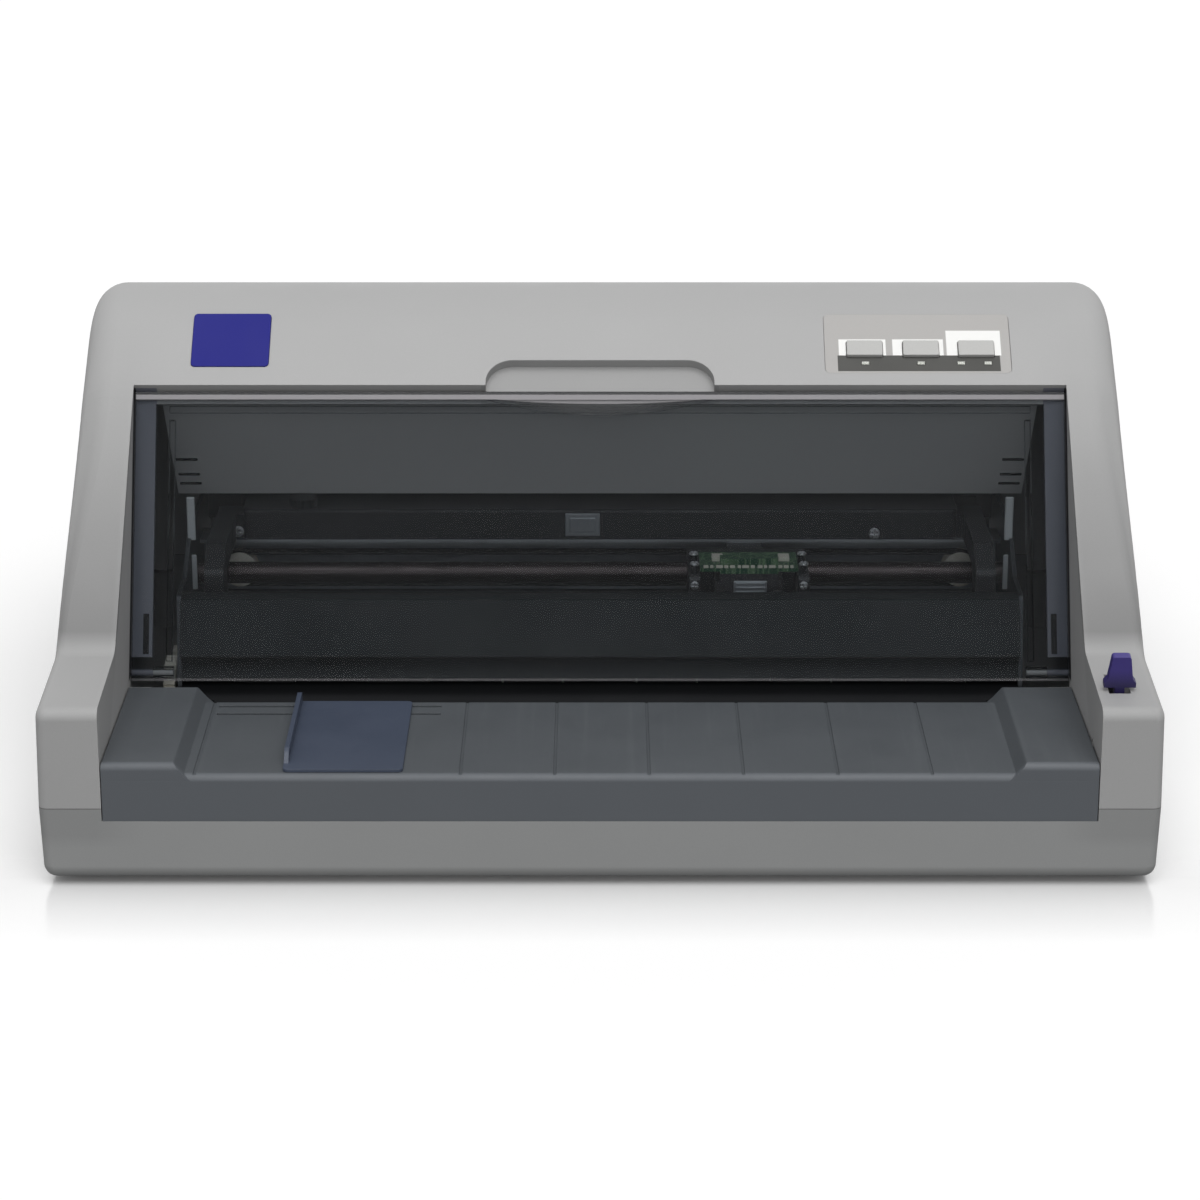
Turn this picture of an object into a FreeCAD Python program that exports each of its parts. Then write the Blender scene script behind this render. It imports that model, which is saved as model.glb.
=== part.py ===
import FreeCAD
import Part
import math
import os

# Dot matrix printer with a flat paper table in front and a hinged smoked cover.
# Millimetres. X points right, Y to the back, Z up, with the origin under the middle.
# Depths are named as u, the distance behind the front face, and turned into y in one place.

# Driving sizes of the whole
width = 468.0
depth = 350.0
height = 207.0
foot_height = 3.0
wall = 2.8
seam_gap = 0.4
run_gap = 0.5
slide_gap = 0.1
overrun = 6.0

# Side outline of the casing
parting_z = 35.0
ledge_front_z = 78.6
ledge_back_z = 83.0
ledge_back_u = 60.0
cheek_drop = 34.0
crown_u = 214.0
crown_radius = 55.0
band_angle = math.radians(38.5)
rear_fall = math.radians(14.0)
nose_radius = 5.0
ledge_fillet = 12.0
cheek_fillet = 40.0
rear_radius = 14.0
edge_round = 4.0
top_round = 14.0
side_draft = 2.7
base_draft = 1.2
base_round = 6.0

# The bay in front and the window behind it
cheek_width = 26.5
window_foot_u = 99.0
window_foot_z = 53.0
window_top_step = 3.95
window_top_drop = 0.8
window_lip_side = 9.5
window_lip_top = 5.0

# Paper table
table_z = 50.1
table_depth = 88.0
table_sheet = 2.5
table_nose = 3.0
skirt_z = 29.5
block_z = 55.0
block_depth = 94.4
block_top_width = 30.5
block_foot_width = 35.0
groove_left = 58.0
groove_pitch = 39.2
groove_count = 6
groove_width = 1.2
groove_depth = 0.5

Vec = FreeCAD.Vector
half_width = width / 2
bay_half = half_width - cheek_width
block_inner_half = bay_half - block_top_width
block_foot_half = bay_half - block_foot_width
half_depth = depth / 2
floor_z = foot_height + wall


def y_of(u):
    return u - half_depth


def box(x0, x1, u0, u1, z0, z1):
    return Part.makeBox(x1 - x0, u1 - u0, z1 - z0, Vec(x0, y_of(u0), z0))


def rod_x(radius, x0, x1, u, z):
    return Part.makeCylinder(radius, x1 - x0, Vec(x0, y_of(u), z), Vec(1, 0, 0))


def rod_y(radius, u0, u1, x, z):
    return Part.makeCylinder(radius, u1 - u0, Vec(x, y_of(u0), z), Vec(0, 1, 0))


def rod_z(radius, z0, z1, x, u):
    return Part.makeCylinder(radius, z1 - z0, Vec(x, y_of(u), z0), Vec(0, 0, 1))


def rounded_wire(corners, place):
    """Closed wire through corners (a, b, radius); place puts a flat point into space."""
    count = len(corners)
    stretches = []
    for number, (a, b, radius) in enumerate(corners):
        point = Vec(a, b, 0)
        if radius == 0:
            stretches.append((point, None, point))
            continue
        before = corners[number - 1]
        after = corners[(number + 1) % count]
        back = (Vec(before[0], before[1], 0) - point).normalize()
        ahead = (Vec(after[0], after[1], 0) - point).normalize()
        half_angle = back.getAngle(ahead) / 2
        inward = (back + ahead).normalize()
        reach = radius / math.tan(half_angle)
        middle = point + inward * (radius / math.sin(half_angle) - radius)
        stretches.append((point + back * reach, middle, point + ahead * reach))
    edges = []
    for number, (start, middle, end) in enumerate(stretches):
        if middle is not None:
            edges.append(Part.Arc(place(start), place(middle), place(end)).toShape())
        following = stretches[(number + 1) % count][0]
        if not following.isEqual(end, wall / 10000):
            edges.append(Part.LineSegment(place(end), place(following)).toShape())
    return Part.Wire(edges)


def prism_x(corners, x0, x1):
    """Corners are (u, z, radius)."""
    wire = rounded_wire(corners, lambda p: Vec(x0, y_of(p.x), p.y))
    return Part.Face(wire).extrude(Vec(x1 - x0, 0, 0))


def prism_y(corners, u0, u1):
    """Corners are (x, z, radius)."""
    wire = rounded_wire(corners, lambda p: Vec(p.x, y_of(u0), p.y))
    return Part.Face(wire).extrude(Vec(0, u1 - u0, 0))


def prism_z(corners, z0, z1):
    """Corners are (x, u, radius)."""
    wire = rounded_wire(corners, lambda p: Vec(p.x, y_of(p.y), z0))
    return Part.Face(wire).extrude(Vec(0, 0, z1 - z0))


def rectangle(a0, a1, b0, b1, radius=0.0):
    return [(a0, b0, radius), (a1, b0, radius), (a1, b1, radius), (a0, b1, radius)]


def inset(corners, gap):
    """The outline moved inward by gap, with each rounding kept parallel."""
    count = len(corners)
    area = 0.0
    for number in range(count):
        a, b = corners[number], corners[(number + 1) % count]
        area += a[0] * b[1] - b[0] * a[1]
    turn = 1 if area > 0 else -1
    moved = []
    for number in range(count):
        before, here, after = corners[number - 1], corners[number], corners[(number + 1) % count]
        ax, ay = here[0] - before[0], here[1] - before[1]
        bx, by = after[0] - here[0], after[1] - here[1]
        a_length, b_length = math.hypot(ax, ay), math.hypot(bx, by)
        ax, ay, bx, by = ax / a_length, ay / a_length, bx / b_length, by / b_length
        cross = ax * by - ay * bx
        along = gap * turn * (1 - (ax * bx + ay * by)) / cross
        new_a = here[0] - ay * gap * turn - ax * along
        new_b = here[1] + ax * gap * turn - ay * along
        radius = here[2]
        if radius > 0:
            convex = cross * turn > 0
            radius = max(radius - gap, 0.0) if convex else radius + gap
        moved.append((new_a, new_b, radius))
    return moved


def mirrored(shape):
    return shape.mirror(Vec(0, 0, 0), Vec(1, 0, 0))


def both_sides(shape):
    return [shape, mirrored(shape)]


def fused(*shapes):
    flat = []
    for shape in shapes:
        flat.extend(shape if isinstance(shape, list) else [shape])
    if len(flat) == 1:
        return flat[0]
    return flat[0].fuse(flat[1:]).removeSplitter()


def cut(base, *tools):
    flat = []
    for tool in tools:
        flat.extend(tool if isinstance(tool, list) else [tool])
    return base.cut(flat)


def save(name, *shapes):
    solids = []
    for shape in shapes:
        for one in (shape if isinstance(shape, list) else [shape]):
            solids.extend(one.Solids)
    os.makedirs("parts", exist_ok=True)
    whole = solids[0] if len(solids) == 1 else Part.makeCompound(solids)
    whole.exportStep("parts/" + name + ".step")
    fault = "" if all(solid.isValid() for solid in solids) else "  NOT VALID"
    print(name, len(solids), round(sum(solid.Volume for solid in solids)), fault)


# Places on the casing's outline, worked out from the driving sizes
half_turn = (band_angle + rear_fall) / 2
crown_lean = (band_angle - rear_fall) / 2
crown_corner_u = crown_u - crown_radius / math.cos(half_turn) * math.sin(crown_lean)
cheek_top_z = height - cheek_drop
crown_corner_z = height - crown_radius + crown_radius / math.cos(half_turn) * math.cos(crown_lean)
cheek_top_u = crown_corner_u - (crown_corner_z - cheek_top_z) / math.tan(band_angle)
rear_top_z = crown_corner_z - (depth - crown_corner_u) * math.tan(rear_fall)
window_top_u = cheek_top_u + window_top_step
window_top_z = cheek_top_z - window_top_drop


def casing_outline(base_z):
    return [
        (0.0, base_z, 0.0),
        (0.0, ledge_front_z, nose_radius),
        (ledge_back_u, ledge_back_z, ledge_fillet),
        (cheek_top_u, cheek_top_z, cheek_fillet),
        (crown_corner_u, crown_corner_z, crown_radius),
        (depth, rear_top_z, rear_radius),
        (depth, base_z, 0.0),
    ]


def casing_block(thickness, low_round, high_round):
    """The casing's outer form, moved inward by a thickness, with rounded side edges."""
    outline = casing_outline(parting_z)
    if thickness > 0:
        outline = inset(casing_outline(parting_z - overrun), thickness)
    reach = half_width - thickness
    block = prism_x(outline, -half_width, half_width)
    low_z = parting_z - overrun
    high_z = height + overrun
    lean = side_draft / (height - parting_z)
    low_reach = reach + lean * (parting_z - low_z)
    high_reach = reach - lean * (high_z - parting_z)
    sides = [(-low_reach, low_z, 0), (-high_reach, high_z, 0),
             (high_reach, high_z, 0), (low_reach, low_z, 0)]
    block = block.common(prism_y(sides, -overrun, depth + overrun))
    rounds = []
    for number, edge in enumerate(block.Edges):
        middle = edge.CenterOfMass
        on_side = abs(middle.x) > reach - side_draft * 2
        if not on_side or edge.BoundBox.ZMax < parting_z + wall / 10:
            continue
        ends = [vertex.Point for vertex in edge.Vertexes]
        lean = abs(ends[0].y - ends[1].y)
        on_cheek = y_of(ledge_back_u) < middle.y < y_of(cheek_top_u - cheek_fillet / 4)
        if on_cheek and lean > ledge_back_u:
            lower_first = ends[0].y < ends[1].y
            pair = (low_round, high_round) if lower_first else (high_round, low_round)
        elif middle.y < y_of((ledge_back_u + cheek_top_u) / 2):
            pair = (low_round, low_round)
        else:
            pair = (high_round, high_round)
        rounds.append((number + 1, pair[0], pair[1]))
    base = sheet.addObject("Part::Feature", "block")
    base.Shape = block
    rounding = sheet.addObject("Part::Fillet", "rounding")
    rounding.Base = base
    rounding.Edges = rounds
    sheet.recompute()
    return rounding.Shape.Solids[0]


sheet = FreeCAD.newDocument("printer")

# Cover, window frame and hood
cover_sheet = 2.5
cover_room = cover_sheet + seam_gap
cover_start_s = 2.9
cover_side_gap = 0.8
cover_rib_inset = 6.0
cover_rib_depth = 5.0
cover_rib_end = 12.0
cover_hinge_s = 7.0
cover_hinge_inset = 5.0
cover_barrel_radius = 2.9
cover_barrel_length = 9.0
cover_lip = 3.0
hinge_pin_radius = 1.5
grip_half = 50.0
grip_drop = 7.0
grip_margin = 3.5
grip_depth = 1.2
scoop_half = 51.0
scoop_length = 18.0
scoop_depth = 5.0
scoop_corner = 12.0
hood_foot_u = 216.0
hood_foot_gap = 3.2
hood_start_s = 8.0
hood_sheet = 2.4
hood_end_gap = 1.0

# Rear cover over the tractor bay, and the slot below it
rear_cover_u = 262.0
rear_cover_drop = 67.0
rear_cover_inset = 17.5
rear_barrel_radius = 2.4
rear_pin_radius = 1.2
rear_barrel_length = 10.0
rear_slot_low_z = 43.0
rear_slot_high_z = 68.0

# Case screws, feet and the posts under the table
boss_radius = 5.0
boss_inset = 14.5
boss_front_u = 58.0
boss_rear_u = 322.0
screw_radius = 1.5
screw_reach = 12.0
screw_head_radius = 3.2
screw_head_height = 2.2
foot_radius = 9.0
foot_inset = 44.0
foot_front_u = 34.0
foot_rear_u = 316.0
post_width = 8.0
post_inset = 17.5
post_front_u = 12.0
post_rear_u = 76.0

boss_x = half_width - boss_inset
foot_x = half_width - foot_inset
post_x = bay_half - post_inset
window_length = math.hypot(window_top_u - window_foot_u, window_top_z - window_foot_z)
window_angle = math.atan2(window_top_z - window_foot_z, window_top_u - window_foot_u)
cover_half = bay_half - cover_side_gap
opening_half = bay_half - window_lip_side
hood_half = opening_half - hood_end_gap
rear_cover_half = bay_half - rear_cover_inset
rear_cover_z = height - rear_cover_drop


def slope_point(foot_u, foot_z, angle, s, n):
    return (foot_u + s * math.cos(angle) - n * math.sin(angle),
            foot_z + s * math.sin(angle) + n * math.cos(angle))


def window_point(s, n):
    """A place s up the cover's outer face and n out of it, as (u, z)."""
    return slope_point(window_foot_u, window_foot_z, window_angle, s, n)


def band_point(s, n):
    """A place s up the top band and n out of it, as (u, z)."""
    return slope_point(cheek_top_u, cheek_top_z, band_angle, s, n)


def on_slope(shape, foot_u, foot_z, angle):
    turn = FreeCAD.Rotation(Vec(1, 0, 0), math.degrees(angle))
    place = FreeCAD.Placement(Vec(0, y_of(foot_u), foot_z), turn)
    return shape.transformed(place.toMatrix(), True)


def slope_plate(x0, x1, s0, s1, n0, n1, radius=0.0):
    wire = rounded_wire(rectangle(x0, x1, s0, s1, radius), lambda p: Vec(p.x, p.y, n0))
    return Part.Face(wire).extrude(Vec(0, 0, n1 - n0))


def on_window(shape):
    return on_slope(shape, window_foot_u, window_foot_z, window_angle)


def on_band(shape):
    return on_slope(shape, cheek_top_u, cheek_top_z, band_angle)


cover_hinge_u, cover_hinge_z = window_point(cover_hinge_s, -cover_hinge_inset)
cover_sweep = math.hypot(cover_hinge_s - cover_start_s, cover_hinge_inset) + run_gap
rear_hinge_u = rear_cover_u + rear_barrel_radius
rear_surface_z = crown_corner_z - (rear_hinge_u - crown_corner_u) * math.tan(rear_fall)
rear_hinge_z = rear_surface_z - rear_barrel_radius / math.cos(rear_fall)


def front_bay(back):
    """The room in front of the window, grown backward and sideways by a thickness."""
    low_u, low_z = window_point(0.0, -cover_room - back)
    top_s = window_length + seam_gap + back
    top_u, top_z = window_point(top_s, -cover_room - back)
    out_u = top_u - overrun * 4 * math.sin(band_angle)
    out_z = top_z + overrun * 4 * math.cos(band_angle)
    base_z = parting_z - overrun * 2
    corners = [(-overrun, base_z, 0), (low_u, base_z, 0), (low_u, low_z, 0),
               (top_u, top_z, 0), (out_u, out_z, 0), (-overrun, out_z, 0)]
    return prism_x(corners, -bay_half - back, bay_half + back)


def rear_lid_room(gap, front_gap):
    corners = rectangle(rear_cover_u - front_gap, depth + overrun, rear_cover_z - gap, height + overrun)
    return prism_x(corners, -rear_cover_half - gap, rear_cover_half + gap)


def case_bosses(z0, z1, radius):
    spots = [(boss_x, boss_front_u), (boss_x, boss_rear_u)]
    return [rod_z(radius, z0, z1, side * x, u) for x, u in spots for side in (-1, 1)]


def scoop(grow):
    low = -scoop_corner * 2
    plate = slope_plate(-scoop_half - grow, scoop_half + grow, low, scoop_length + grow,
                        -scoop_depth - grow, overrun, scoop_corner)
    return on_band(plate)


# Control panel, lights and badge on the top band
panel_inset = 50.0
panel_width = 83.5
panel_s0 = 10.8
panel_s1 = 44.0
panel_recess = 1.4
panel_corner = 2.5
panel_sheet = 1.2
panel_fit = 0.15
button_steps = (18.0, 43.2, 68.0)
button_width = 16.0
button_length = 8.2
button_low_s = 20.0
button_proud = 1.4
button_travel = 0.8
button_gap = 0.3
button_collar = 1.0
button_collar_height = 1.2
button_stem_radius = 1.5
light_steps = (18.2, 43.1, 61.0, 73.0)
light_s = 16.5
light_width = 3.2
light_length = 1.6
board_depth = 9.0
board_sheet = 1.6
board_margin = 2.0
switch_size = 6.0
switch_height = 3.2
badge_inset = 51.0
badge_width = 35.0
badge_s0 = 14.2
badge_s1 = 44.0
badge_recess = 0.9
badge_sheet = 1.3
badge_corner = 2.0

# Lever on the right ledge
lever_inset = 9.2
lever_pivot_u = 27.0
lever_pivot_z = 54.0
lever_lean = math.radians(12.0)
lever_length = 43.5
lever_top_width = 7.6
lever_waist_width = 10.4
lever_foot_width = 13.4
lever_flare_start = 28.8
lever_thickness = 4.0
lever_slot_width = 9.0
lever_slot_end = 4.5
lever_hub_radius = 5.0
lever_pin_radius = 2.0
lever_cheek_gap = 0.3
lever_cheek = 3.0

panel_x1 = half_width - panel_inset
panel_x0 = panel_x1 - panel_width
button_centres = [panel_x0 + step for step in button_steps]
light_centres = [panel_x0 + step for step in light_steps]
badge_x0 = badge_inset - half_width
badge_x1 = badge_x0 + badge_width
lever_x = bay_half + lever_inset


def panel_openings(grow):
    shapes = []
    for centre in button_centres:
        shapes.append(slope_plate(centre - button_width / 2 - grow, centre + button_width / 2 + grow,
                                  button_low_s - grow, button_low_s + button_length + grow,
                                  -overrun, overrun, grow + button_gap))
    for centre in light_centres:
        shapes.append(slope_plate(centre - light_width / 2 - panel_fit, centre + light_width / 2 + panel_fit,
                                  light_s - light_length / 2 - panel_fit,
                                  light_s + light_length / 2 + panel_fit, -overrun, overrun))
    return [on_band(shape) for shape in shapes]


lever_slot_reach = (ledge_front_z - lever_pivot_z) * math.tan(lever_lean) + lever_slot_end


def lever_slot():
    return box(lever_x - lever_slot_width / 2, lever_x + lever_slot_width / 2,
               lever_pivot_u - lever_slot_reach, lever_pivot_u + lever_slot_reach,
               lever_pivot_z, ledge_back_z + overrun)


def lever_bracket():
    """Two ears that hang from the ledge and carry the lever's pin."""
    half = lever_thickness / 2 + lever_cheek_gap
    ears = []
    for side in (-1, 1):
        x0 = lever_x + side * half
        x1 = lever_x + side * (half + lever_cheek)
        corners = [(lever_pivot_u - lever_hub_radius * 2, ledge_front_z, 0),
                   (lever_pivot_u - lever_hub_radius, lever_pivot_z - lever_hub_radius, 0),
                   (lever_pivot_u + lever_hub_radius, lever_pivot_z - lever_hub_radius, 0),
                   (lever_pivot_u + lever_hub_radius * 2, ledge_front_z, 0)]
        ears.append(prism_x(corners, min(x0, x1), max(x0, x1)))
    return ears


def upper_case():
    outer = casing_block(0.0, edge_round, top_round)
    inner = casing_block(wall, edge_round - wall, top_round - wall)
    hollow = cut(inner, front_bay(wall), scoop(wall))
    shell = cut(outer, hollow, front_bay(0.0))
    pane_n = -cover_room - wall
    opening = on_window(slope_plate(-opening_half, opening_half, -overrun, window_length - window_lip_top,
                                    pane_n - wall, -cover_room + seam_gap))
    low_u = window_point(0.0, -cover_room)[0]
    slot = box(-opening_half, opening_half, low_u - wall, low_u + wall * 2,
               parting_z - overrun, window_foot_z + overrun)
    ledge_reach = inset(casing_outline(parting_z), wall / 2)
    start_u, start_z = band_point(hood_start_s, -wall / 2)
    hood = prism_x([(start_u, start_z, 0), (hood_foot_u, hood_foot_z, 0),
                    (hood_foot_u + hood_sheet, hood_foot_z, 0),
                    (start_u + hood_sheet, start_z + hood_sheet / 2, 0)], -hood_half, hood_half)
    trim = prism_x(ledge_reach, -half_width + wall, half_width - wall)
    bosses = [boss.common(trim) for boss in case_bosses(parting_z, height, boss_radius)]
    ears = [ear.common(trim) for ear in lever_bracket()]
    shell = fused(shell, hood, bosses, ears)
    pins = [rod_x(hinge_pin_radius, opening_half - cover_barrel_length - slide_gap * 4,
                  bay_half + wall / 2, cover_hinge_u, cover_hinge_z)]
    pins.append(rod_x(rear_pin_radius, rear_cover_half - rear_barrel_length, rear_cover_half + wall,
                      rear_hinge_u, rear_hinge_z))
    foot_rooms = both_sides(rod_x(cover_sweep, opening_half - wall, bay_half, cover_hinge_u, cover_hinge_z))
    shell = cut(shell, opening, slot, foot_rooms, scoop(0.0), lever_slot())
    shell = cut(shell, rear_lid_room(seam_gap, seam_gap))
    shell = cut(shell, box(-rear_cover_half, rear_cover_half, depth - wall * 2, depth + overrun,
                           rear_slot_low_z, rear_slot_high_z))
    shell = cut(shell, case_bosses(parting_z - overrun, parting_z + screw_reach, screw_radius))
    recess = slope_plate(panel_x0, panel_x1, panel_s0, panel_s1, -panel_recess, overrun * 2, panel_corner)
    badge = slope_plate(badge_x0, badge_x1, badge_s0, badge_s1, -badge_recess, overrun * 2, badge_corner)
    shell = cut(shell, on_band(recess), on_band(badge), panel_openings(button_gap))
    pin_hole = rod_x(lever_pin_radius + slide_gap, lever_x - lever_foot_width, lever_x + lever_foot_width,
                     lever_pivot_u, lever_pivot_z)
    shell = cut(shell, pin_hole)
    pins = [both for pin in pins for both in both_sides(pin)]
    return fused(shell, pins)


def finger_grip():
    """A shallow crescent below the cover's top edge, in the cover's own places."""
    radius = (grip_half ** 2 + grip_drop ** 2) / (grip_drop * 2)
    edge_s = window_length - grip_margin
    disc = Part.makeCylinder(radius, grip_depth + overrun, Vec(0, edge_s - grip_drop + radius, -grip_depth),
                             Vec(0, 0, 1))
    return disc.common(slope_plate(-grip_half, grip_half, edge_s - grip_drop - overrun, edge_s,
                                   -grip_depth, overrun))


def printer_cover():
    sheet_plate = slope_plate(-cover_half, cover_half, cover_start_s, window_length,
                              -cover_sheet, 0.0, seam_gap * 2)
    rib_x = opening_half - cover_rib_inset
    ribs = []
    for side in (-1, 1):
        edges = sorted((side * rib_x, side * (rib_x - cover_sheet)))
        ribs.append(slope_plate(edges[0], edges[1], cover_rib_end, window_length - cover_rib_end,
                                -cover_sheet - cover_rib_depth, -cover_sheet / 2))
    lip_s = window_length - window_lip_top - seam_gap * 2
    top_lip = slope_plate(-rib_x, rib_x, lip_s - cover_lip, lip_s, -cover_sheet - cover_lip, -cover_sheet / 2)
    panel = cut(on_window(fused(sheet_plate, ribs, top_lip)), on_window(finger_grip()))
    barrel_end = opening_half - slide_gap * 4
    barrel = rod_x(cover_barrel_radius, barrel_end - cover_barrel_length, barrel_end,
                   cover_hinge_u, cover_hinge_z)
    bore = rod_x(hinge_pin_radius + slide_gap, barrel_end - cover_barrel_length - overrun,
                 barrel_end + overrun, cover_hinge_u, cover_hinge_z)
    panel = fused(panel, both_sides(barrel))
    return cut(panel, both_sides(bore))


def rear_cover():
    outer = casing_block(0.0, edge_round, top_round)
    inner = casing_block(wall, edge_round - wall, top_round - wall)
    lid = cut(outer, inner).common(rear_lid_room(0.0, -rear_barrel_radius))
    barrel = rod_x(rear_barrel_radius, -rear_cover_half, rear_cover_half, rear_hinge_u, rear_hinge_z)
    bore = rod_x(rear_pin_radius + slide_gap, rear_cover_half - rear_barrel_length - slide_gap * 4,
                 rear_cover_half + overrun, rear_hinge_u, rear_hinge_z)
    return cut(fused(lid, barrel), both_sides(bore))


# Edge guide on the table
guide_inset = 75.5
guide_width = 50.0
guide_start_u = 3.0
guide_end_u = 85.8
guide_sheet = 1.2
guide_lift = 0.1
guide_fence = 6.0
guide_fence_sheet = 2.0
guide_slot_us = (73.0, 82.6)
guide_slot_width = 2.2
guide_tongue = 6.0
guide_hook = 1.2
guide_hook_height = 1.8
guide_travel_left = 34.0
guide_travel_right = 12.4
recess_inset = 39.0

# Sockets, the power switch and the boards
board_z = 10.4
board_rear_gap = 4.0
main_board_left = 8.0
main_board_inset = 52.0
main_board_depth = 142.0
supply_inset = 50.0
supply_depth = 120.0
standoff_radius = 3.0
inlet_inset = 58.0
inlet_width = 28.0
inlet_low_z = 11.0
inlet_high_z = 31.0
inlet_depth = 20.0
inlet_rim = 2.0
inlet_well_depth = 15.0
inlet_wall = 1.8
inlet_pin_width = 2.0
inlet_pin_height = 4.0
inlet_pin_length = 10.0
inlet_pin_pitch = 7.0
socket_fit = 0.2
parallel_x = 94.0
parallel_width = 66.0
parallel_height = 15.0
usb_x = 152.0
usb_width = 12.0
usb_height = 11.0
socket_depth = 16.0
socket_well = 9.0
socket_wall = 1.6
socket_tongue = 2.0
switch_u = 92.0
switch_z = 19.5
switch_inset = 9.0
switch_half_length = 8.5
switch_half_height = 6.0
switch_face = 7.3
switch_dip = 1.5
switch_lean = math.radians(7.0)
switch_wall = 1.6
switch_gap = 0.3
switch_back = 4.0
switch_pin_radius = 1.2
switch_face_inset = 2.3

block_outer = bay_half - seam_gap
guide_x0 = guide_inset - bay_half
guide_x1 = guide_x0 + guide_width
recess_line_x = recess_inset - bay_half
inlet_x = inlet_inset - half_width
switch_pivot_x = half_width - switch_inset
board_rear_u = depth - board_rear_gap
board_front_u = board_rear_u - main_board_depth
main_board_area = (main_board_left, half_width - main_board_inset, board_front_u, board_rear_u)
supply_area = (supply_inset - half_width, -main_board_left, board_front_u, board_front_u + supply_depth)
socket_z = board_z + board_sheet


def case_floor_block(thickness, low_z, high_z):
    """The lower casing's outer form, moved inward by a thickness, between two heights."""
    lean = base_draft / (parting_z - foot_height)
    low_half = half_width - thickness - lean * (parting_z - low_z)
    high_half = half_width - thickness + lean * (high_z - parting_z)
    corners = [(-low_half, low_z, 0), (low_half, low_z, 0), (high_half, high_z, 0), (-high_half, high_z, 0)]
    block = prism_y(corners, thickness, depth - thickness)
    tall = (high_z - low_z) / 2
    front = [edge for edge in block.Edges if edge.BoundBox.ZLength > tall and edge.CenterOfMass.y < 0]
    block = block.makeFillet(edge_round - thickness, front)
    rear_y = half_depth - thickness * 2 - wall
    rear = [edge for edge in block.Edges if edge.BoundBox.ZLength > tall and edge.CenterOfMass.y > rear_y]
    block = block.makeFillet(top_round - thickness, rear)
    foot = [edge for edge in block.Edges if edge.BoundBox.ZMax < low_z + wall / 4]
    return block.makeFillet(base_round - thickness, foot)


def rear_hole(x, span, low_z, high_z, fit):
    return box(x - span / 2 - fit, x + span / 2 + fit, depth - wall * 2, depth + overrun,
               low_z - fit, high_z + fit)


def post_spots():
    return [(side * post_x, u) for side in (-1, 1) for u in (post_front_u, post_rear_u)] + [
        (0.0, post_front_u), (0.0, post_rear_u - post_width)]


def board_standoffs(x0, x1, u0, u1):
    margin = standoff_radius + wall / 2
    return [rod_z(standoff_radius, floor_z - wall / 2, board_z, x, u)
            for x in (x0 + margin, x1 - margin) for u in (u0 + margin, u1 - margin)]


def switch_room():
    return box(switch_pivot_x - switch_back, half_width + overrun,
               switch_u - switch_half_length - switch_wall - switch_gap * 4,
               switch_u + switch_half_length + switch_wall + switch_gap * 4,
               switch_z - switch_half_height - switch_wall - switch_gap,
               switch_z + switch_half_height + switch_wall + switch_gap)


def lower_case():
    shell = case_floor_block(0.0, foot_height, parting_z)
    hollow = case_floor_block(wall, floor_z, parting_z + overrun)
    shell = cut(shell, hollow)
    shell = cut(shell, box(-bay_half, bay_half, -overrun, wall * 2, skirt_z, parting_z + overrun))
    posts = [box(x - post_width / 2, x + post_width / 2, u, u + post_width, floor_z - wall / 2,
                 table_z - table_sheet) for x, u in post_spots()]
    standoffs = board_standoffs(*main_board_area) + board_standoffs(*supply_area)
    shell = fused(shell, posts, standoffs, case_bosses(floor_z - wall / 2, parting_z, boss_radius))
    seat_z = foot_height + screw_head_height + wall / 2
    holes = case_bosses(foot_height - overrun, parting_z + overrun, screw_radius + slide_gap)
    sinks = case_bosses(foot_height - overrun, seat_z, screw_head_radius + run_gap / 2)
    shell = cut(shell, holes, sinks, switch_room())
    sockets = [rear_hole(inlet_x, inlet_width, inlet_low_z, inlet_high_z, socket_fit),
               rear_hole(parallel_x, parallel_width, socket_z, socket_z + parallel_height, socket_fit),
               rear_hole(usb_x, usb_width, socket_z, socket_z + usb_height, socket_fit)]
    return cut(shell, sockets)


def case_screws():
    seat_z = foot_height + screw_head_height + wall / 2
    tip_z = parting_z + screw_reach - screw_radius
    shanks = case_bosses(seat_z - wall / 2, tip_z, screw_radius - slide_gap / 2)
    head_z = seat_z - screw_head_height
    heads = case_bosses(head_z, seat_z, screw_head_radius)
    drives = case_bosses(head_z - overrun, seat_z - screw_head_height / 2, screw_radius / 2)
    screws = []
    for shank, head, drive in zip(shanks, heads, drives):
        screws.append(cut(fused(shank, head), drive))
    return screws


def rubber_feet():
    pads = []
    for side in (-1, 1):
        for u in (foot_front_u, foot_rear_u):
            pad = rod_z(foot_radius, 0.0, foot_height, side * foot_x, u)
            rim = [edge for edge in pad.Edges if edge.BoundBox.ZMax < foot_height / 4]
            pads.append(pad.makeFillet(foot_height / 4, rim))
    return pads


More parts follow.
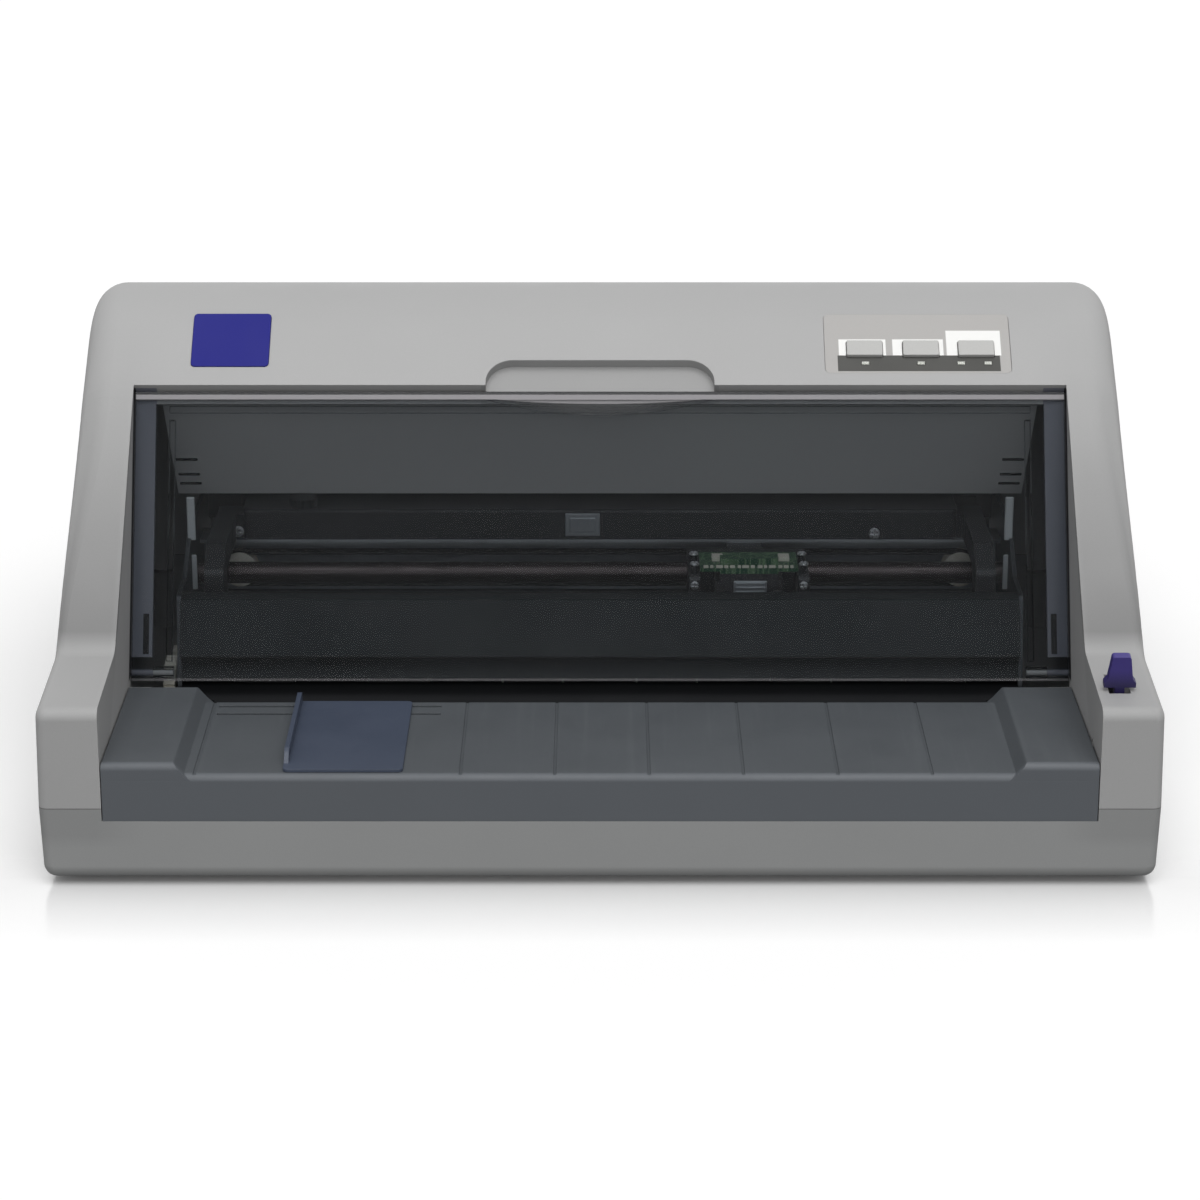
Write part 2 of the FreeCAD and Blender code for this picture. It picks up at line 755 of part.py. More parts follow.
def paper_table():
    under_z = table_z - table_sheet
    slab = prism_x([(0.0, skirt_z, 0), (0.0, table_z, table_nose), (table_depth, table_z, table_sheet / 4),
                    (table_depth, under_z, 0), (table_sheet, under_z, 0), (table_sheet, skirt_z, 0)],
                   -block_outer, block_outer)
    section = [(block_foot_half - table_sheet, under_z, 0), (block_foot_half, table_z - wall / 10, 0),
               (block_inner_half, block_z, table_sheet / 2), (block_outer, block_z, table_sheet / 4),
               (block_outer, under_z, 0)]
    side = prism_x([(0.0, under_z, 0), (0.0, block_z, table_nose), (block_depth, block_z, table_sheet / 2),
                    (block_depth, under_z, 0)], 0.0, block_outer)
    block = prism_y(section, 0.0, block_depth).common(side)
    grooves = []
    for number in range(groove_count):
        x = groove_pitch * number - groove_left
        grooves.append(box(x - groove_width / 2, x + groove_width / 2, -overrun, depth,
                           table_z - groove_depth, table_z + overrun))
    grooves.append(box(recess_line_x - groove_width / 2, recess_line_x + groove_width / 2, -overrun, depth,
                       table_z - groove_depth, table_z + overrun / 100))
    slots = [box(guide_x0 - guide_travel_left - seam_gap, guide_x1 + guide_travel_right + seam_gap,
                 u - guide_slot_width / 2, u + guide_slot_width / 2, under_z - overrun, table_z + overrun)
             for u in guide_slot_us]
    return cut(fused(cut(slab, grooves), both_sides(block)), slots)


def edge_guide():
    base_z = table_z + guide_lift
    plate = prism_z(rectangle(guide_x0, guide_x1, guide_start_u, guide_end_u, guide_sheet * 2),
                    base_z, base_z + guide_sheet)
    fence = prism_x([(guide_start_u + guide_fence, base_z, 0),
                     (guide_start_u + guide_fence * 2, base_z + guide_fence, guide_fence),
                     (guide_end_u - guide_sheet, base_z + guide_fence, guide_sheet),
                     (guide_end_u - guide_sheet, base_z, 0)], guide_x0, guide_x0 + guide_fence_sheet)
    tongues = []
    under_z = table_z - table_sheet
    for u in guide_slot_us:
        half = guide_slot_width / 2 - seam_gap / 2
        for x0 in (guide_x0, guide_x1 - guide_tongue):
            tongues.append(box(x0, x0 + guide_tongue, u - half, u + half,
                               under_z - guide_lift - guide_hook_height, base_z + guide_sheet / 2))
            tongues.append(box(x0, x0 + guide_tongue, u - half - guide_hook, u + half + guide_hook,
                               under_z - guide_lift - guide_hook_height, under_z - guide_lift))
    return fused(plate, fence, tongues)


def release_lever():
    half = lever_thickness / 2
    hub = rod_x(lever_hub_radius, lever_x - half, lever_x + half, lever_pivot_u, lever_pivot_z)
    pin_reach = half + lever_cheek_gap + lever_cheek
    pin = rod_x(lever_pin_radius, lever_x - pin_reach, lever_x + pin_reach, lever_pivot_u, lever_pivot_z)
    stem = box(lever_x - half, lever_x + half, lever_pivot_u - half, lever_pivot_u + half,
               lever_pivot_z, lever_pivot_z + lever_flare_start + lever_thickness)
    flare_z = lever_pivot_z + lever_flare_start
    shoulder_z = flare_z + lever_thickness
    top_z = lever_pivot_z + lever_length
    foot_z = (flare_z + shoulder_z) / 2
    outline = [(lever_x - lever_foot_width / 2, flare_z, 0), (lever_x + lever_foot_width / 2, flare_z, 0),
               (lever_x + lever_foot_width / 2, foot_z, 0),
               (lever_x + lever_waist_width / 2, shoulder_z, 0),
               (lever_x + lever_top_width / 2, top_z, lever_top_width / 6),
               (lever_x - lever_top_width / 2, top_z, lever_top_width / 6),
               (lever_x - lever_waist_width / 2, shoulder_z, 0),
               (lever_x - lever_foot_width / 2, foot_z, 0)]
    paddle = prism_y(outline, lever_pivot_u - half, lever_pivot_u + half)
    lever = fused(hub, pin, stem, paddle)
    lever.rotate(Vec(lever_x, y_of(lever_pivot_u), lever_pivot_z), Vec(1, 0, 0), math.degrees(lever_lean))
    return lever


def panel_plate():
    plate = slope_plate(panel_x0 + panel_fit, panel_x1 - panel_fit, panel_s0 + panel_fit,
                        panel_s1 - panel_fit, -panel_recess, -panel_recess + panel_sheet,
                        panel_corner - panel_fit)
    return cut(on_band(plate), panel_openings(button_gap))


def button(centre):
    x0, x1 = centre - button_width / 2, centre + button_width / 2
    s0, s1 = button_low_s, button_low_s + button_length
    collar_top = -wall - seam_gap / 4
    collar_foot = collar_top - button_collar_height
    cap = slope_plate(x0, x1, s0, s1, collar_foot, button_proud, button_gap * 2)
    rim = [edge for edge in cap.Edges if edge.BoundBox.ZMin > button_proud - button_gap]
    cap = cap.makeFillet(button_gap, rim)
    collar = slope_plate(x0 - button_collar, x1 + button_collar, s0 - button_collar, s1 + button_collar,
                         collar_foot, collar_top, button_gap)
    stem_foot = -board_depth + switch_height + button_travel + button_gap / 6
    stem = Part.makeCylinder(button_stem_radius, collar_foot - stem_foot + button_collar_height / 2,
                             Vec(centre, (s0 + s1) / 2, stem_foot), Vec(0, 0, 1))
    return on_band(fused(cap, collar, stem))


def panel_lights():
    lenses = []
    for centre in light_centres:
        lenses.append(on_band(slope_plate(centre - light_width / 2, centre + light_width / 2,
                                          light_s - light_length / 2, light_s + light_length / 2,
                                          -board_depth, -panel_recess + panel_sheet + panel_fit)))
    return lenses


def panel_board():
    x0, x1 = panel_x0 + board_margin, panel_x1 - board_margin
    board = slope_plate(x0, x1, panel_s0 + board_margin, panel_s1 - board_margin,
                        -board_depth - board_sheet, -board_depth)
    middle_s = button_low_s + button_length / 2
    switches = [slope_plate(centre - switch_size / 2, centre + switch_size / 2, middle_s - switch_size / 2,
                            middle_s + switch_size / 2, -board_depth - board_sheet / 2,
                            -board_depth + switch_height) for centre in button_centres]
    return on_band(fused(board, switches))


def badge_plate():
    plate = slope_plate(badge_x0 + panel_fit, badge_x1 - panel_fit, badge_s0 + panel_fit,
                        badge_s1 - panel_fit, -badge_recess, -badge_recess + badge_sheet,
                        badge_corner - panel_fit)
    return on_band(plate)


def ac_inlet():
    rear = depth
    body = box(inlet_x - inlet_width / 2, inlet_x + inlet_width / 2, rear - inlet_depth, rear,
               inlet_low_z, inlet_high_z)
    rim = box(inlet_x - inlet_width / 2 - inlet_rim, inlet_x + inlet_width / 2 + inlet_rim,
              rear - wall - inlet_rim, rear - wall, inlet_low_z - inlet_rim, inlet_high_z + inlet_rim)
    well = box(inlet_x - inlet_width / 2 + inlet_wall, inlet_x + inlet_width / 2 - inlet_wall,
               rear - inlet_well_depth, rear + overrun, inlet_low_z + inlet_wall, inlet_high_z - inlet_wall)
    pins = []
    middle_z = (inlet_low_z + inlet_high_z) / 2
    for step, lift in ((-1, -1), (0, 1), (1, -1)):
        x = inlet_x + step * inlet_pin_pitch
        z = middle_z + lift * inlet_wall
        pins.append(box(x - inlet_pin_width / 2, x + inlet_pin_width / 2, rear - inlet_depth + inlet_wall,
                        rear - inlet_well_depth + inlet_pin_length, z - inlet_pin_height / 2,
                        z + inlet_pin_height / 2))
    return fused(cut(fused(body, rim), well), pins)


def board_socket(x, span, tall):
    rear = depth
    body = box(x - span / 2, x + span / 2, rear - socket_depth, rear, socket_z, socket_z + tall)
    well = box(x - span / 2 + socket_wall, x + span / 2 - socket_wall, rear - socket_well, rear + overrun,
               socket_z + socket_wall, socket_z + tall - socket_wall)
    middle_z = socket_z + tall / 2
    tongue = box(x - span / 2 + socket_wall * 2, x + span / 2 - socket_wall * 2,
                 rear - socket_depth / 2 - socket_wall, rear - socket_wall,
                 middle_z - socket_tongue / 2, middle_z + socket_tongue / 2)
    return fused(cut(body, well), tongue)


def rocker_reach():
    return switch_half_length * math.cos(switch_lean) + switch_face * math.sin(switch_lean) + switch_gap


def power_switch_body():
    face_x = half_width - switch_face_inset
    reach = rocker_reach()
    tall = switch_half_height + switch_gap
    rim = switch_wall - switch_gap
    body = box(switch_pivot_x - switch_back - switch_wall, face_x, switch_u - reach - rim,
               switch_u + reach + rim, switch_z - tall - rim, switch_z + tall + rim)
    well = box(switch_pivot_x - switch_back, face_x + overrun, switch_u - reach, switch_u + reach,
               switch_z - tall, switch_z + tall)
    pin = rod_z(switch_pin_radius, switch_z - tall - switch_wall / 2, switch_z + tall + switch_wall / 2,
                switch_pivot_x, switch_u)
    return fused(cut(body, well), pin)


def power_rocker():
    px = switch_pivot_x
    corners = [(px - switch_back / 2, switch_u - switch_half_length / 2, 0),
               (px + switch_face, switch_u - switch_half_length, 0),
               (px + switch_face - switch_dip, switch_u, switch_half_length * 2),
               (px + switch_face, switch_u + switch_half_length, 0),
               (px - switch_back / 2, switch_u + switch_half_length / 2, 0)]
    rocker = prism_z(corners, switch_z - switch_half_height, switch_z + switch_half_height)
    bore = rod_z(switch_pin_radius + slide_gap, switch_z - switch_half_height - overrun,
                 switch_z + switch_half_height + overrun, px, switch_u)
    rocker = cut(rocker, bore)
    rocker.rotate(Vec(px, y_of(switch_u), switch_z), Vec(0, 0, 1), -math.degrees(switch_lean))
    return rocker


# Frames and the paper path
frame_inset = 21.5
frame_sheet = 2.0
frame_front_u = 113.0
frame_rear_u = 326.0
frame_low_rear_z = 58.0
frame_high_z = 104.0
frame_high_front_u = 172.0
frame_high_rear_u = 240.0
frame_nose_z = 88.0
frame_nose_u = 122.0
frame_round = 6.0
guide_low_z = 47.1
guide_top_z = 48.6
guide_front_u = 89.5
guide_rear_u = 256.0
upper_guide_front_u = 161.5
upper_guide_rear_u = 252.0
upper_guide_z = 51.6
upper_guide_sheet = 1.5
upper_guide_tail = 10.0
upper_guide_rise = 6.0
front_guide_inset = 3.7
front_guide_low_z = 52.6
front_guide_start_s = 6.0
front_guide_end_s = 39.5
front_guide_back = 11.0
front_guide_rear_u = 137.0
front_guide_shoulder_z = 74.0
front_guide_rib_pitch = 19.0
front_guide_rib_depth = 1.6
platen_u = 150.0
platen_width = 8.0
platen_end_gap = 8.5
platen_low_z = 41.2
platen_shelf_z = 46.4
platen_gap = 0.8
paper_gap = 0.1

# Rollers and gears
front_roller_u = 125.0
shaft_radius = 3.0
roller_radius = 9.0
roller_length = 26.0
roller_count = 6
roller_end_gap = 36.0
pinch_radius = 6.0
pinch_length = 22.0
pinch_shaft_radius = 1.5
pinch_nip = 0.15
bush_radius = 5.0
bush_flange_radius = 6.5
bush_flange = 1.0
roller_gear_radius = 16.0
gear_width = 5.0
gear_start = 1.2
roller_gear_teeth = 32
idler_gear_teeth = 23
transfer_gear_teeth = 29
pinion_teeth = 10
tip_share = 0.13
root_share = 0.29
tooth_height_share = 0.8
tooth_depth_share = 1.1
stub_radius = 2.0
hub_radius = 4.5
web_depth = 1.4
web_margin = 3.0
feed_motor_radius = 15.0
feed_motor_length = 34.0
motor_shaft_radius = 1.6
motor_hole_radius = 7.0
motor_flange = 2.0
flange_wide_share = 1.35
flange_tall_share = 1.1

# Tractors
tractor_guide_u = 272.0
tractor_x = 130.0
tractor_half = 10.0
tractor_front_u = 262.0
tractor_rear_u = 316.0
tractor_low_z = 34.0
tractor_top_z = 49.6
tractor_round = 1.2
square_shaft = 5.4
square_end_gap = 2.0
sprocket_radius = 9.5
sprocket_half = 3.0
sprocket_pin_radius = 1.0
sprocket_pin_height = 3.0
sprocket_pins = 8
sprocket_room = 1.0
lid_low_z = 51.0
lid_sheet = 1.8
lid_hinge_out = 1.6
lid_barrel_radius = 1.8
lid_pin_radius = 0.9
lid_barrel_u0 = 268.0
lid_barrel_u1 = 290.0
lid_ear = 3.0
lid_round_share = 0.9
support_half = 9.0

frame_face = bay_half - frame_inset
platen_top_half = frame_face - platen_end_gap
square_end = frame_face - square_end_gap
roller_pitch = (frame_face - roller_end_gap) * 2 / (roller_count - 1)
roller_z = table_z - roller_radius
pinch_z = table_z + pinch_nip + pinch_radius
gear_module = roller_gear_radius * 2 / roller_gear_teeth
idler_gear_radius = gear_module * idler_gear_teeth / 2
transfer_gear_radius = gear_module * transfer_gear_teeth / 2
pinion_radius = gear_module * pinion_teeth / 2
idler_u = front_roller_u + roller_gear_radius + idler_gear_radius
rear_roller_u = idler_u + idler_gear_radius + roller_gear_radius
transfer_front_u = rear_roller_u + roller_gear_radius + transfer_gear_radius
transfer_middle_u = transfer_front_u + transfer_gear_radius * 2
transfer_rear_u = transfer_middle_u + transfer_gear_radius * 2
tractor_u = transfer_rear_u + transfer_gear_radius + roller_gear_radius
feed_motor_z = roller_z - idler_gear_radius - pinion_radius
frame_outer = frame_face + frame_sheet
gear_x = -frame_outer - gear_start


def roller_centres():
    return [roller_pitch * (number - (roller_count - 1) / 2) for number in range(roller_count)]


def tooth_wheel(teeth, phase):
    """Flat outline of a gear, as (along, up) points round its own centre."""
    pitch_angle = 2 * math.pi / teeth
    pitch_radius = gear_module * teeth / 2
    tip = pitch_radius + tooth_height_share * gear_module
    root = pitch_radius - tooth_depth_share * gear_module
    points = []
    for number in range(teeth):
        middle = phase + number * pitch_angle
        for radius, share in ((root, -root_share), (tip, -tip_share), (tip, tip_share), (root, root_share)):
            angle = middle + share * pitch_angle
            points.append((radius * math.cos(angle), radius * math.sin(angle)))
    return points


def gear(teeth, phase, u, z, bore):
    x1 = gear_x
    x0 = gear_x - gear_width
    corners = [(u + a, z + b, 0) for a, b in tooth_wheel(teeth, phase)]
    wheel = prism_x(corners, x0, x1)
    rim = gear_module * teeth / 2 - web_margin
    if rim > hub_radius * 2:
        ring = cut(rod_x(rim, x0, x0 + web_depth, u, z), rod_x(hub_radius, x0, x0 + web_depth, u, z))
        wheel = cut(wheel, ring)
    return cut(wheel, rod_x(bore, x0 - overrun, x1 + overrun, u, z))


def meshing_phase(teeth, phase, direction, next_teeth):
    """Phase of the next gear, so that its teeth lie in this one's gaps along a direction."""
    pitch_angle = 2 * math.pi / teeth
    offset = ((phase - direction) / pitch_angle) % 1
    return direction + math.pi - (offset + 1 / 2) * 2 * math.pi / next_teeth


front_phase = 0.0
idler_phase = meshing_phase(roller_gear_teeth, front_phase, 0.0, idler_gear_teeth)
rear_phase = meshing_phase(idler_gear_teeth, idler_phase, 0.0, roller_gear_teeth)
transfer_front_phase = meshing_phase(roller_gear_teeth, rear_phase, 0.0, transfer_gear_teeth)
transfer_middle_phase = meshing_phase(transfer_gear_teeth, transfer_front_phase, 0.0, transfer_gear_teeth)
transfer_rear_phase = meshing_phase(transfer_gear_teeth, transfer_middle_phase, 0.0, transfer_gear_teeth)
tractor_phase = meshing_phase(transfer_gear_teeth, transfer_rear_phase, 0.0, roller_gear_teeth)
pinion_phase = meshing_phase(idler_gear_teeth, idler_phase, -math.pi / 2, pinion_teeth)


def side_frame(side):
    corners = [(frame_front_u, floor_z, frame_round), (frame_rear_u, floor_z, frame_round),
               (frame_rear_u, frame_low_rear_z, frame_round), (frame_high_rear_u + frame_round * 2,
               frame_low_rear_z, frame_round), (frame_high_rear_u, frame_high_z, frame_round),
               (frame_high_front_u, frame_high_z, frame_round), (frame_nose_u + frame_round * 4,
               frame_nose_z, frame_round), (frame_nose_u, frame_nose_z, frame_round / 2),
               (frame_front_u, guide_top_z, frame_round)]
    plate = prism_x(corners, frame_face, frame_outer)
    foot = box(frame_outer, frame_outer + frame_round * 2, frame_high_front_u, frame_rear_u - frame_round,
               floor_z, floor_z + frame_sheet)
    foot = fused(plate, foot)
    holes = [rod_x(bush_radius + slide_gap / 2, frame_face - overrun, frame_outer + overrun, u, roller_z)
             for u in (front_roller_u, rear_roller_u, tractor_u)]
    if side > 0:
        return cut(foot, holes)
    motor_hole = rod_x(motor_hole_radius, frame_face - overrun, frame_outer + overrun, idler_u, feed_motor_z)
    pins = [rod_x(stub_radius, frame_outer - frame_sheet / 2, -gear_x + gear_width + wall / 4, u, roller_z)
            for u in (idler_u, transfer_front_u, transfer_middle_u, transfer_rear_u)]
    return mirrored(fused(cut(foot, holes, motor_hole), pins))


def roller_bushes():
    bushes = []
    for u in (front_roller_u, rear_roller_u, tractor_u):
        bush = fused(rod_x(bush_radius, frame_face, frame_outer, u, roller_z),
                     rod_x(bush_flange_radius, frame_outer, frame_outer + bush_flange, u, roller_z))
        bush = cut(bush, rod_x(shaft_radius + slide_gap, 0.0, half_width, u, roller_z))
        bushes.extend(both_sides(bush))
    return bushes


def roller_windows(u, low_z, high_z, reach, length):
    half = length / 2 + run_gap * 2
    return [box(x - half, x + half, u - reach, u + reach, low_z - overrun, high_z + overrun)
            for x in roller_centres()]


def lower_paper_guide():
    plate = box(-frame_face, frame_face, guide_front_u, guide_rear_u, guide_low_z, guide_top_z)
    drop = roller_z + roller_radius - guide_low_z
    reach = math.sqrt(roller_radius ** 2 - (roller_radius - drop) ** 2) + run_gap * 2
    windows = roller_windows(front_roller_u, guide_low_z, guide_top_z, reach, roller_length)
    windows += roller_windows(rear_roller_u, guide_low_z, guide_top_z, reach, roller_length)
    half = platen_width / 2 + platen_gap
    windows.append(box(-platen_top_half - platen_gap, platen_top_half + platen_gap, platen_u - half,
                       platen_u + half, guide_low_z - overrun, guide_top_z + overrun))
    lip = box(-frame_face, frame_face, guide_front_u, guide_front_u + upper_guide_sheet,
              guide_low_z - upper_guide_tail, guide_top_z)
    for side in (-1, 1):
        edges = sorted((side * (block_foot_half - table_sheet - seam_gap), side * half_width))
        windows.append(box(edges[0], edges[1], 0.0, block_depth + seam_gap,
                           table_z - table_sheet - seam_gap, height))
    return cut(fused(plate, lip), windows)


def upper_paper_guide():
    high_z = upper_guide_z + upper_guide_sheet
    plate = prism_x([(upper_guide_front_u, high_z + upper_guide_sheet, 0), (upper_guide_front_u, high_z, 0),
                     (upper_guide_front_u + upper_guide_sheet * 2, upper_guide_z, 0),
                     (upper_guide_rear_u, upper_guide_z, 0),
                     (upper_guide_rear_u + upper_guide_tail, upper_guide_z + upper_guide_rise, 0),
                     (upper_guide_rear_u + upper_guide_tail, high_z + upper_guide_rise, 0),
                     (upper_guide_rear_u, high_z, 0),
                     (upper_guide_front_u + upper_guide_sheet * 2, high_z, 0)], -frame_face, frame_face)
    reach = pinch_radius + run_gap
    plate = cut(plate, roller_windows(rear_roller_u, upper_guide_z, high_z, reach, pinch_length))
    ears = []
    for number in range(roller_count + 1):
        x = roller_pitch * (number - roller_count / 2)
        ear = prism_x([(rear_roller_u - pinch_radius, upper_guide_z, 0),
                       (rear_roller_u, pinch_z + pinch_radius, pinch_radius / 2),
                       (rear_roller_u + pinch_radius, upper_guide_z, 0)],
                      x - upper_guide_sheet, x + upper_guide_sheet)
        ears.append(ear)
    whole = fused(plate, ears)
    limit = box(-frame_face, frame_face, 0.0, depth, 0.0, height)
    bore = rod_x(pinch_shaft_radius + slide_gap, -half_width, half_width, rear_roller_u, pinch_z)
    return cut(whole.common(limit), bore)


def front_paper_guide():
    low = window_point(front_guide_start_s, -front_guide_inset)
    high = window_point(front_guide_end_s, -front_guide_inset)
    corners = [(low[0] + front_guide_rib_depth, front_guide_low_z, 0),
               (low[0] + front_guide_rib_depth, low[1], 0),
               (low[0], low[1] + front_guide_rib_depth, 0), (high[0], high[1], front_guide_rib_depth),
               (high[0] + front_guide_back, high[1], front_guide_rib_depth),
               (front_guide_rear_u, front_guide_shoulder_z, front_guide_rib_depth),
               (front_guide_rear_u, front_guide_low_z, 0)]
    bar = prism_x(corners, -frame_face, frame_face)
    rooms = [rod_x(pinch_radius + run_gap, x - pinch_length / 2 - run_gap, x + pinch_length / 2 + run_gap,
                   front_roller_u, pinch_z) for x in roller_centres()]
    rooms += [box(x - pinch_length / 2 - run_gap, x + pinch_length / 2 + run_gap,
                  front_roller_u - pinch_radius - run_gap, front_roller_u + pinch_radius + run_gap,
                  0.0, pinch_z) for x in roller_centres()]
    bore = rod_x(pinch_shaft_radius + slide_gap, -half_width, half_width, front_roller_u, pinch_z)
    notches = []
    count = int(frame_face / front_guide_rib_pitch)
    for number in range(-count, count + 1):
        x = number * front_guide_rib_pitch
        notches.append(box(x - front_guide_rib_depth / 2, x + front_guide_rib_depth / 2,
                           0.0, low[0] + front_guide_rib_depth * 2, front_guide_low_z - overrun, low[1]))
    foot_room = rod_x(cover_sweep, -half_width, half_width, cover_hinge_u, cover_hinge_z)
    return cut(bar, rooms, bore, notches, foot_room)


def platen_bar():
    half = platen_width / 2
    top = box(-platen_top_half, platen_top_half, platen_u - half, platen_u + half, platen_low_z,
              table_z - paper_gap)
    ends = box(-frame_face, frame_face, platen_u - half, platen_u + half, platen_low_z, platen_shelf_z)
    return fused(top, ends)


def feed_roller(u, phase):
    shaft = rod_x(shaft_radius, gear_x - gear_width, frame_outer + bush_flange, u, roller_z)
    sleeves = []
    for x in roller_centres():
        sleeve = rod_x(roller_radius, x - roller_length / 2, x + roller_length / 2, u, roller_z)
        sleeves.append(cut(sleeve, shaft))
    return [shaft, gear(roller_gear_teeth, phase, u, roller_z, shaft_radius)] + sleeves


def pinch_rollers(u):
    shaft = rod_x(pinch_shaft_radius, -frame_face + run_gap, frame_face - run_gap, u, pinch_z)
    rollers = []
    for x in roller_centres():
        roller = rod_x(pinch_radius, x - pinch_length / 2, x + pinch_length / 2, u, pinch_z)
        rollers.append(cut(roller, shaft))
    return [shaft] + rollers


def feed_motor():
    x0 = -frame_face
    can = rod_x(feed_motor_radius, x0, x0 + feed_motor_length, idler_u, feed_motor_z)
    wide = feed_motor_radius * flange_wide_share
    tall = feed_motor_radius * flange_tall_share
    flange = prism_x([(idler_u - wide, feed_motor_z, feed_motor_radius / 4),
                      (idler_u, feed_motor_z + tall, feed_motor_radius),
                      (idler_u + wide, feed_motor_z, feed_motor_radius / 4),
                      (idler_u, feed_motor_z - tall, feed_motor_radius)], x0, x0 + motor_flange)
    ring = rod_x(motor_hole_radius - slide_gap, x0 - frame_sheet, x0, idler_u, feed_motor_z)
    shaft = rod_x(motor_shaft_radius, gear_x - gear_width, x0, idler_u, feed_motor_z)
    return fused(can, flange, ring, shaft)


def tractor_drive_shaft():
    left_end = rod_x(shaft_radius, gear_x - gear_width, -square_end, tractor_u, roller_z)
    right_end = rod_x(shaft_radius, square_end, frame_outer + bush_flange, tractor_u, roller_z)
    half = square_shaft / 2
    square = box(-square_end, square_end, tractor_u - half, tractor_u + half,
                 roller_z - half, roller_z + half)
    wheel = gear(roller_gear_teeth, tractor_phase, tractor_u, roller_z, shaft_radius)
    return [fused(left_end, square, right_end), wheel]


def tractor_guide_shaft():
    return rod_x(shaft_radius, -frame_face, frame_face, tractor_guide_u, roller_z)


def tractor_bores(centre, half):
    x0 = centre - half - overrun
    x1 = centre + half + overrun
    drive = rod_x(square_shaft / math.sqrt(2) + slide_gap * 2, x0, x1, tractor_u, roller_z)
    guide = rod_x(shaft_radius + slide_gap / 2, x0, x1, tractor_guide_u, roller_z)
    return [drive, guide]


def lid_axis():
    return tractor_x + tractor_half + lid_hinge_out, lid_low_z + lid_sheet / 2


def tractor():
    """The right tractor's body; the left one is its mirror image."""
    section = rectangle(tractor_front_u, tractor_rear_u, tractor_low_z, tractor_top_z, tractor_round)
    body = prism_x(section, tractor_x - tractor_half, tractor_x + tractor_half)
    room = sprocket_radius + sprocket_pin_height + sprocket_room
    half = sprocket_half + sprocket_room / 2
    wheel_room = rod_x(room, tractor_x - half, tractor_x + half, tractor_u, roller_z)
    hinge_x, hinge_z = lid_axis()
    ears = []
    for u0, u1 in ((lid_barrel_u0 - run_gap - lid_ear, lid_barrel_u0 - run_gap),
                   (lid_barrel_u1 + run_gap, lid_barrel_u1 + run_gap + lid_ear)):
        round_over = lid_barrel_radius * lid_round_share
        section = [(tractor_x + tractor_half - lid_ear, tractor_top_z - lid_ear, 0),
                   (hinge_x + lid_barrel_radius, tractor_top_z - lid_ear, 0),
                   (hinge_x + lid_barrel_radius, hinge_z + lid_barrel_radius, round_over),
                   (hinge_x - lid_barrel_radius, hinge_z + lid_barrel_radius, round_over),
                   (hinge_x - lid_barrel_radius, tractor_top_z, 0),
                   (tractor_x + tractor_half - lid_ear, tractor_top_z, 0)]
        ears.append(prism_y(section, u0, u1))
    pin = rod_y(lid_pin_radius, lid_barrel_u0 - lid_ear / 2, lid_barrel_u1 + lid_ear / 2, hinge_x, hinge_z)
    body = cut(body, wheel_room, tractor_bores(tractor_x, tractor_half))
    return fused(body, ears, pin)


def tractor_lid():
    hinge_x, hinge_z = lid_axis()
    high_z = lid_low_z + lid_sheet
    area = rectangle(tractor_x - tractor_half, hinge_x, lid_barrel_u0, tractor_rear_u, sprocket_half)
    plate = prism_z(area, lid_low_z, high_z)
    slot = prism_z(rectangle(tractor_x - sprocket_half / 2, tractor_x + sprocket_half / 2,
                             tractor_u - sprocket_radius, tractor_u + sprocket_radius, sprocket_half / 3),
                   lid_low_z - overrun, high_z + overrun)
    barrel = rod_y(lid_barrel_radius, lid_barrel_u0, lid_barrel_u1, hinge_x, hinge_z)
    bore_radius = lid_pin_radius + slide_gap
    bore = rod_y(bore_radius, lid_barrel_u0 - overrun, lid_barrel_u1 + overrun, hinge_x, hinge_z)
    trim = box(hinge_x - lid_barrel_radius - seam_gap, half_width, lid_barrel_u1, depth, 0.0, height)
    return cut(fused(cut(plate, trim), barrel), bore, slot)


def sprocket():
    x = tractor_x
    wheel = rod_x(sprocket_radius, x - sprocket_half, x + sprocket_half, tractor_u, roller_z)
    half = square_shaft / 2 + slide_gap
    bore = box(x - overrun, x + overrun, tractor_u - half, tractor_u + half, roller_z - half, roller_z + half)
    pin_length = sprocket_radius / 4 + sprocket_pin_height
    pins = []
    for number in range(sprocket_pins):
        pin = Part.makeCone(sprocket_pin_radius, sprocket_pin_radius / 2, pin_length,
                            Vec(x, y_of(tractor_u), roller_z + sprocket_radius * 3 / 4), Vec(0, 0, 1))
        pin.rotate(Vec(x, y_of(tractor_u), roller_z), Vec(1, 0, 0), 360 * number / sprocket_pins)
        pins.append(pin)
    return cut(fused(wheel, pins), bore)


def paper_support():
    body = prism_x(rectangle(tractor_front_u, tractor_rear_u, tractor_low_z, tractor_top_z, tractor_round),
                   -support_half, support_half)
    arch = prism_x([(tractor_guide_u + bush_flange_radius, tractor_low_z - overrun, 0),
                    (tractor_u - bush_flange_radius, tractor_low_z - overrun, 0),
                    (tractor_u - bush_flange_radius, tractor_top_z - wall, wall),
                    (tractor_guide_u + bush_flange_radius, tractor_top_z - wall, wall)],
                   -half_width, half_width)
    return cut(body, tractor_bores(0.0, support_half), arch)


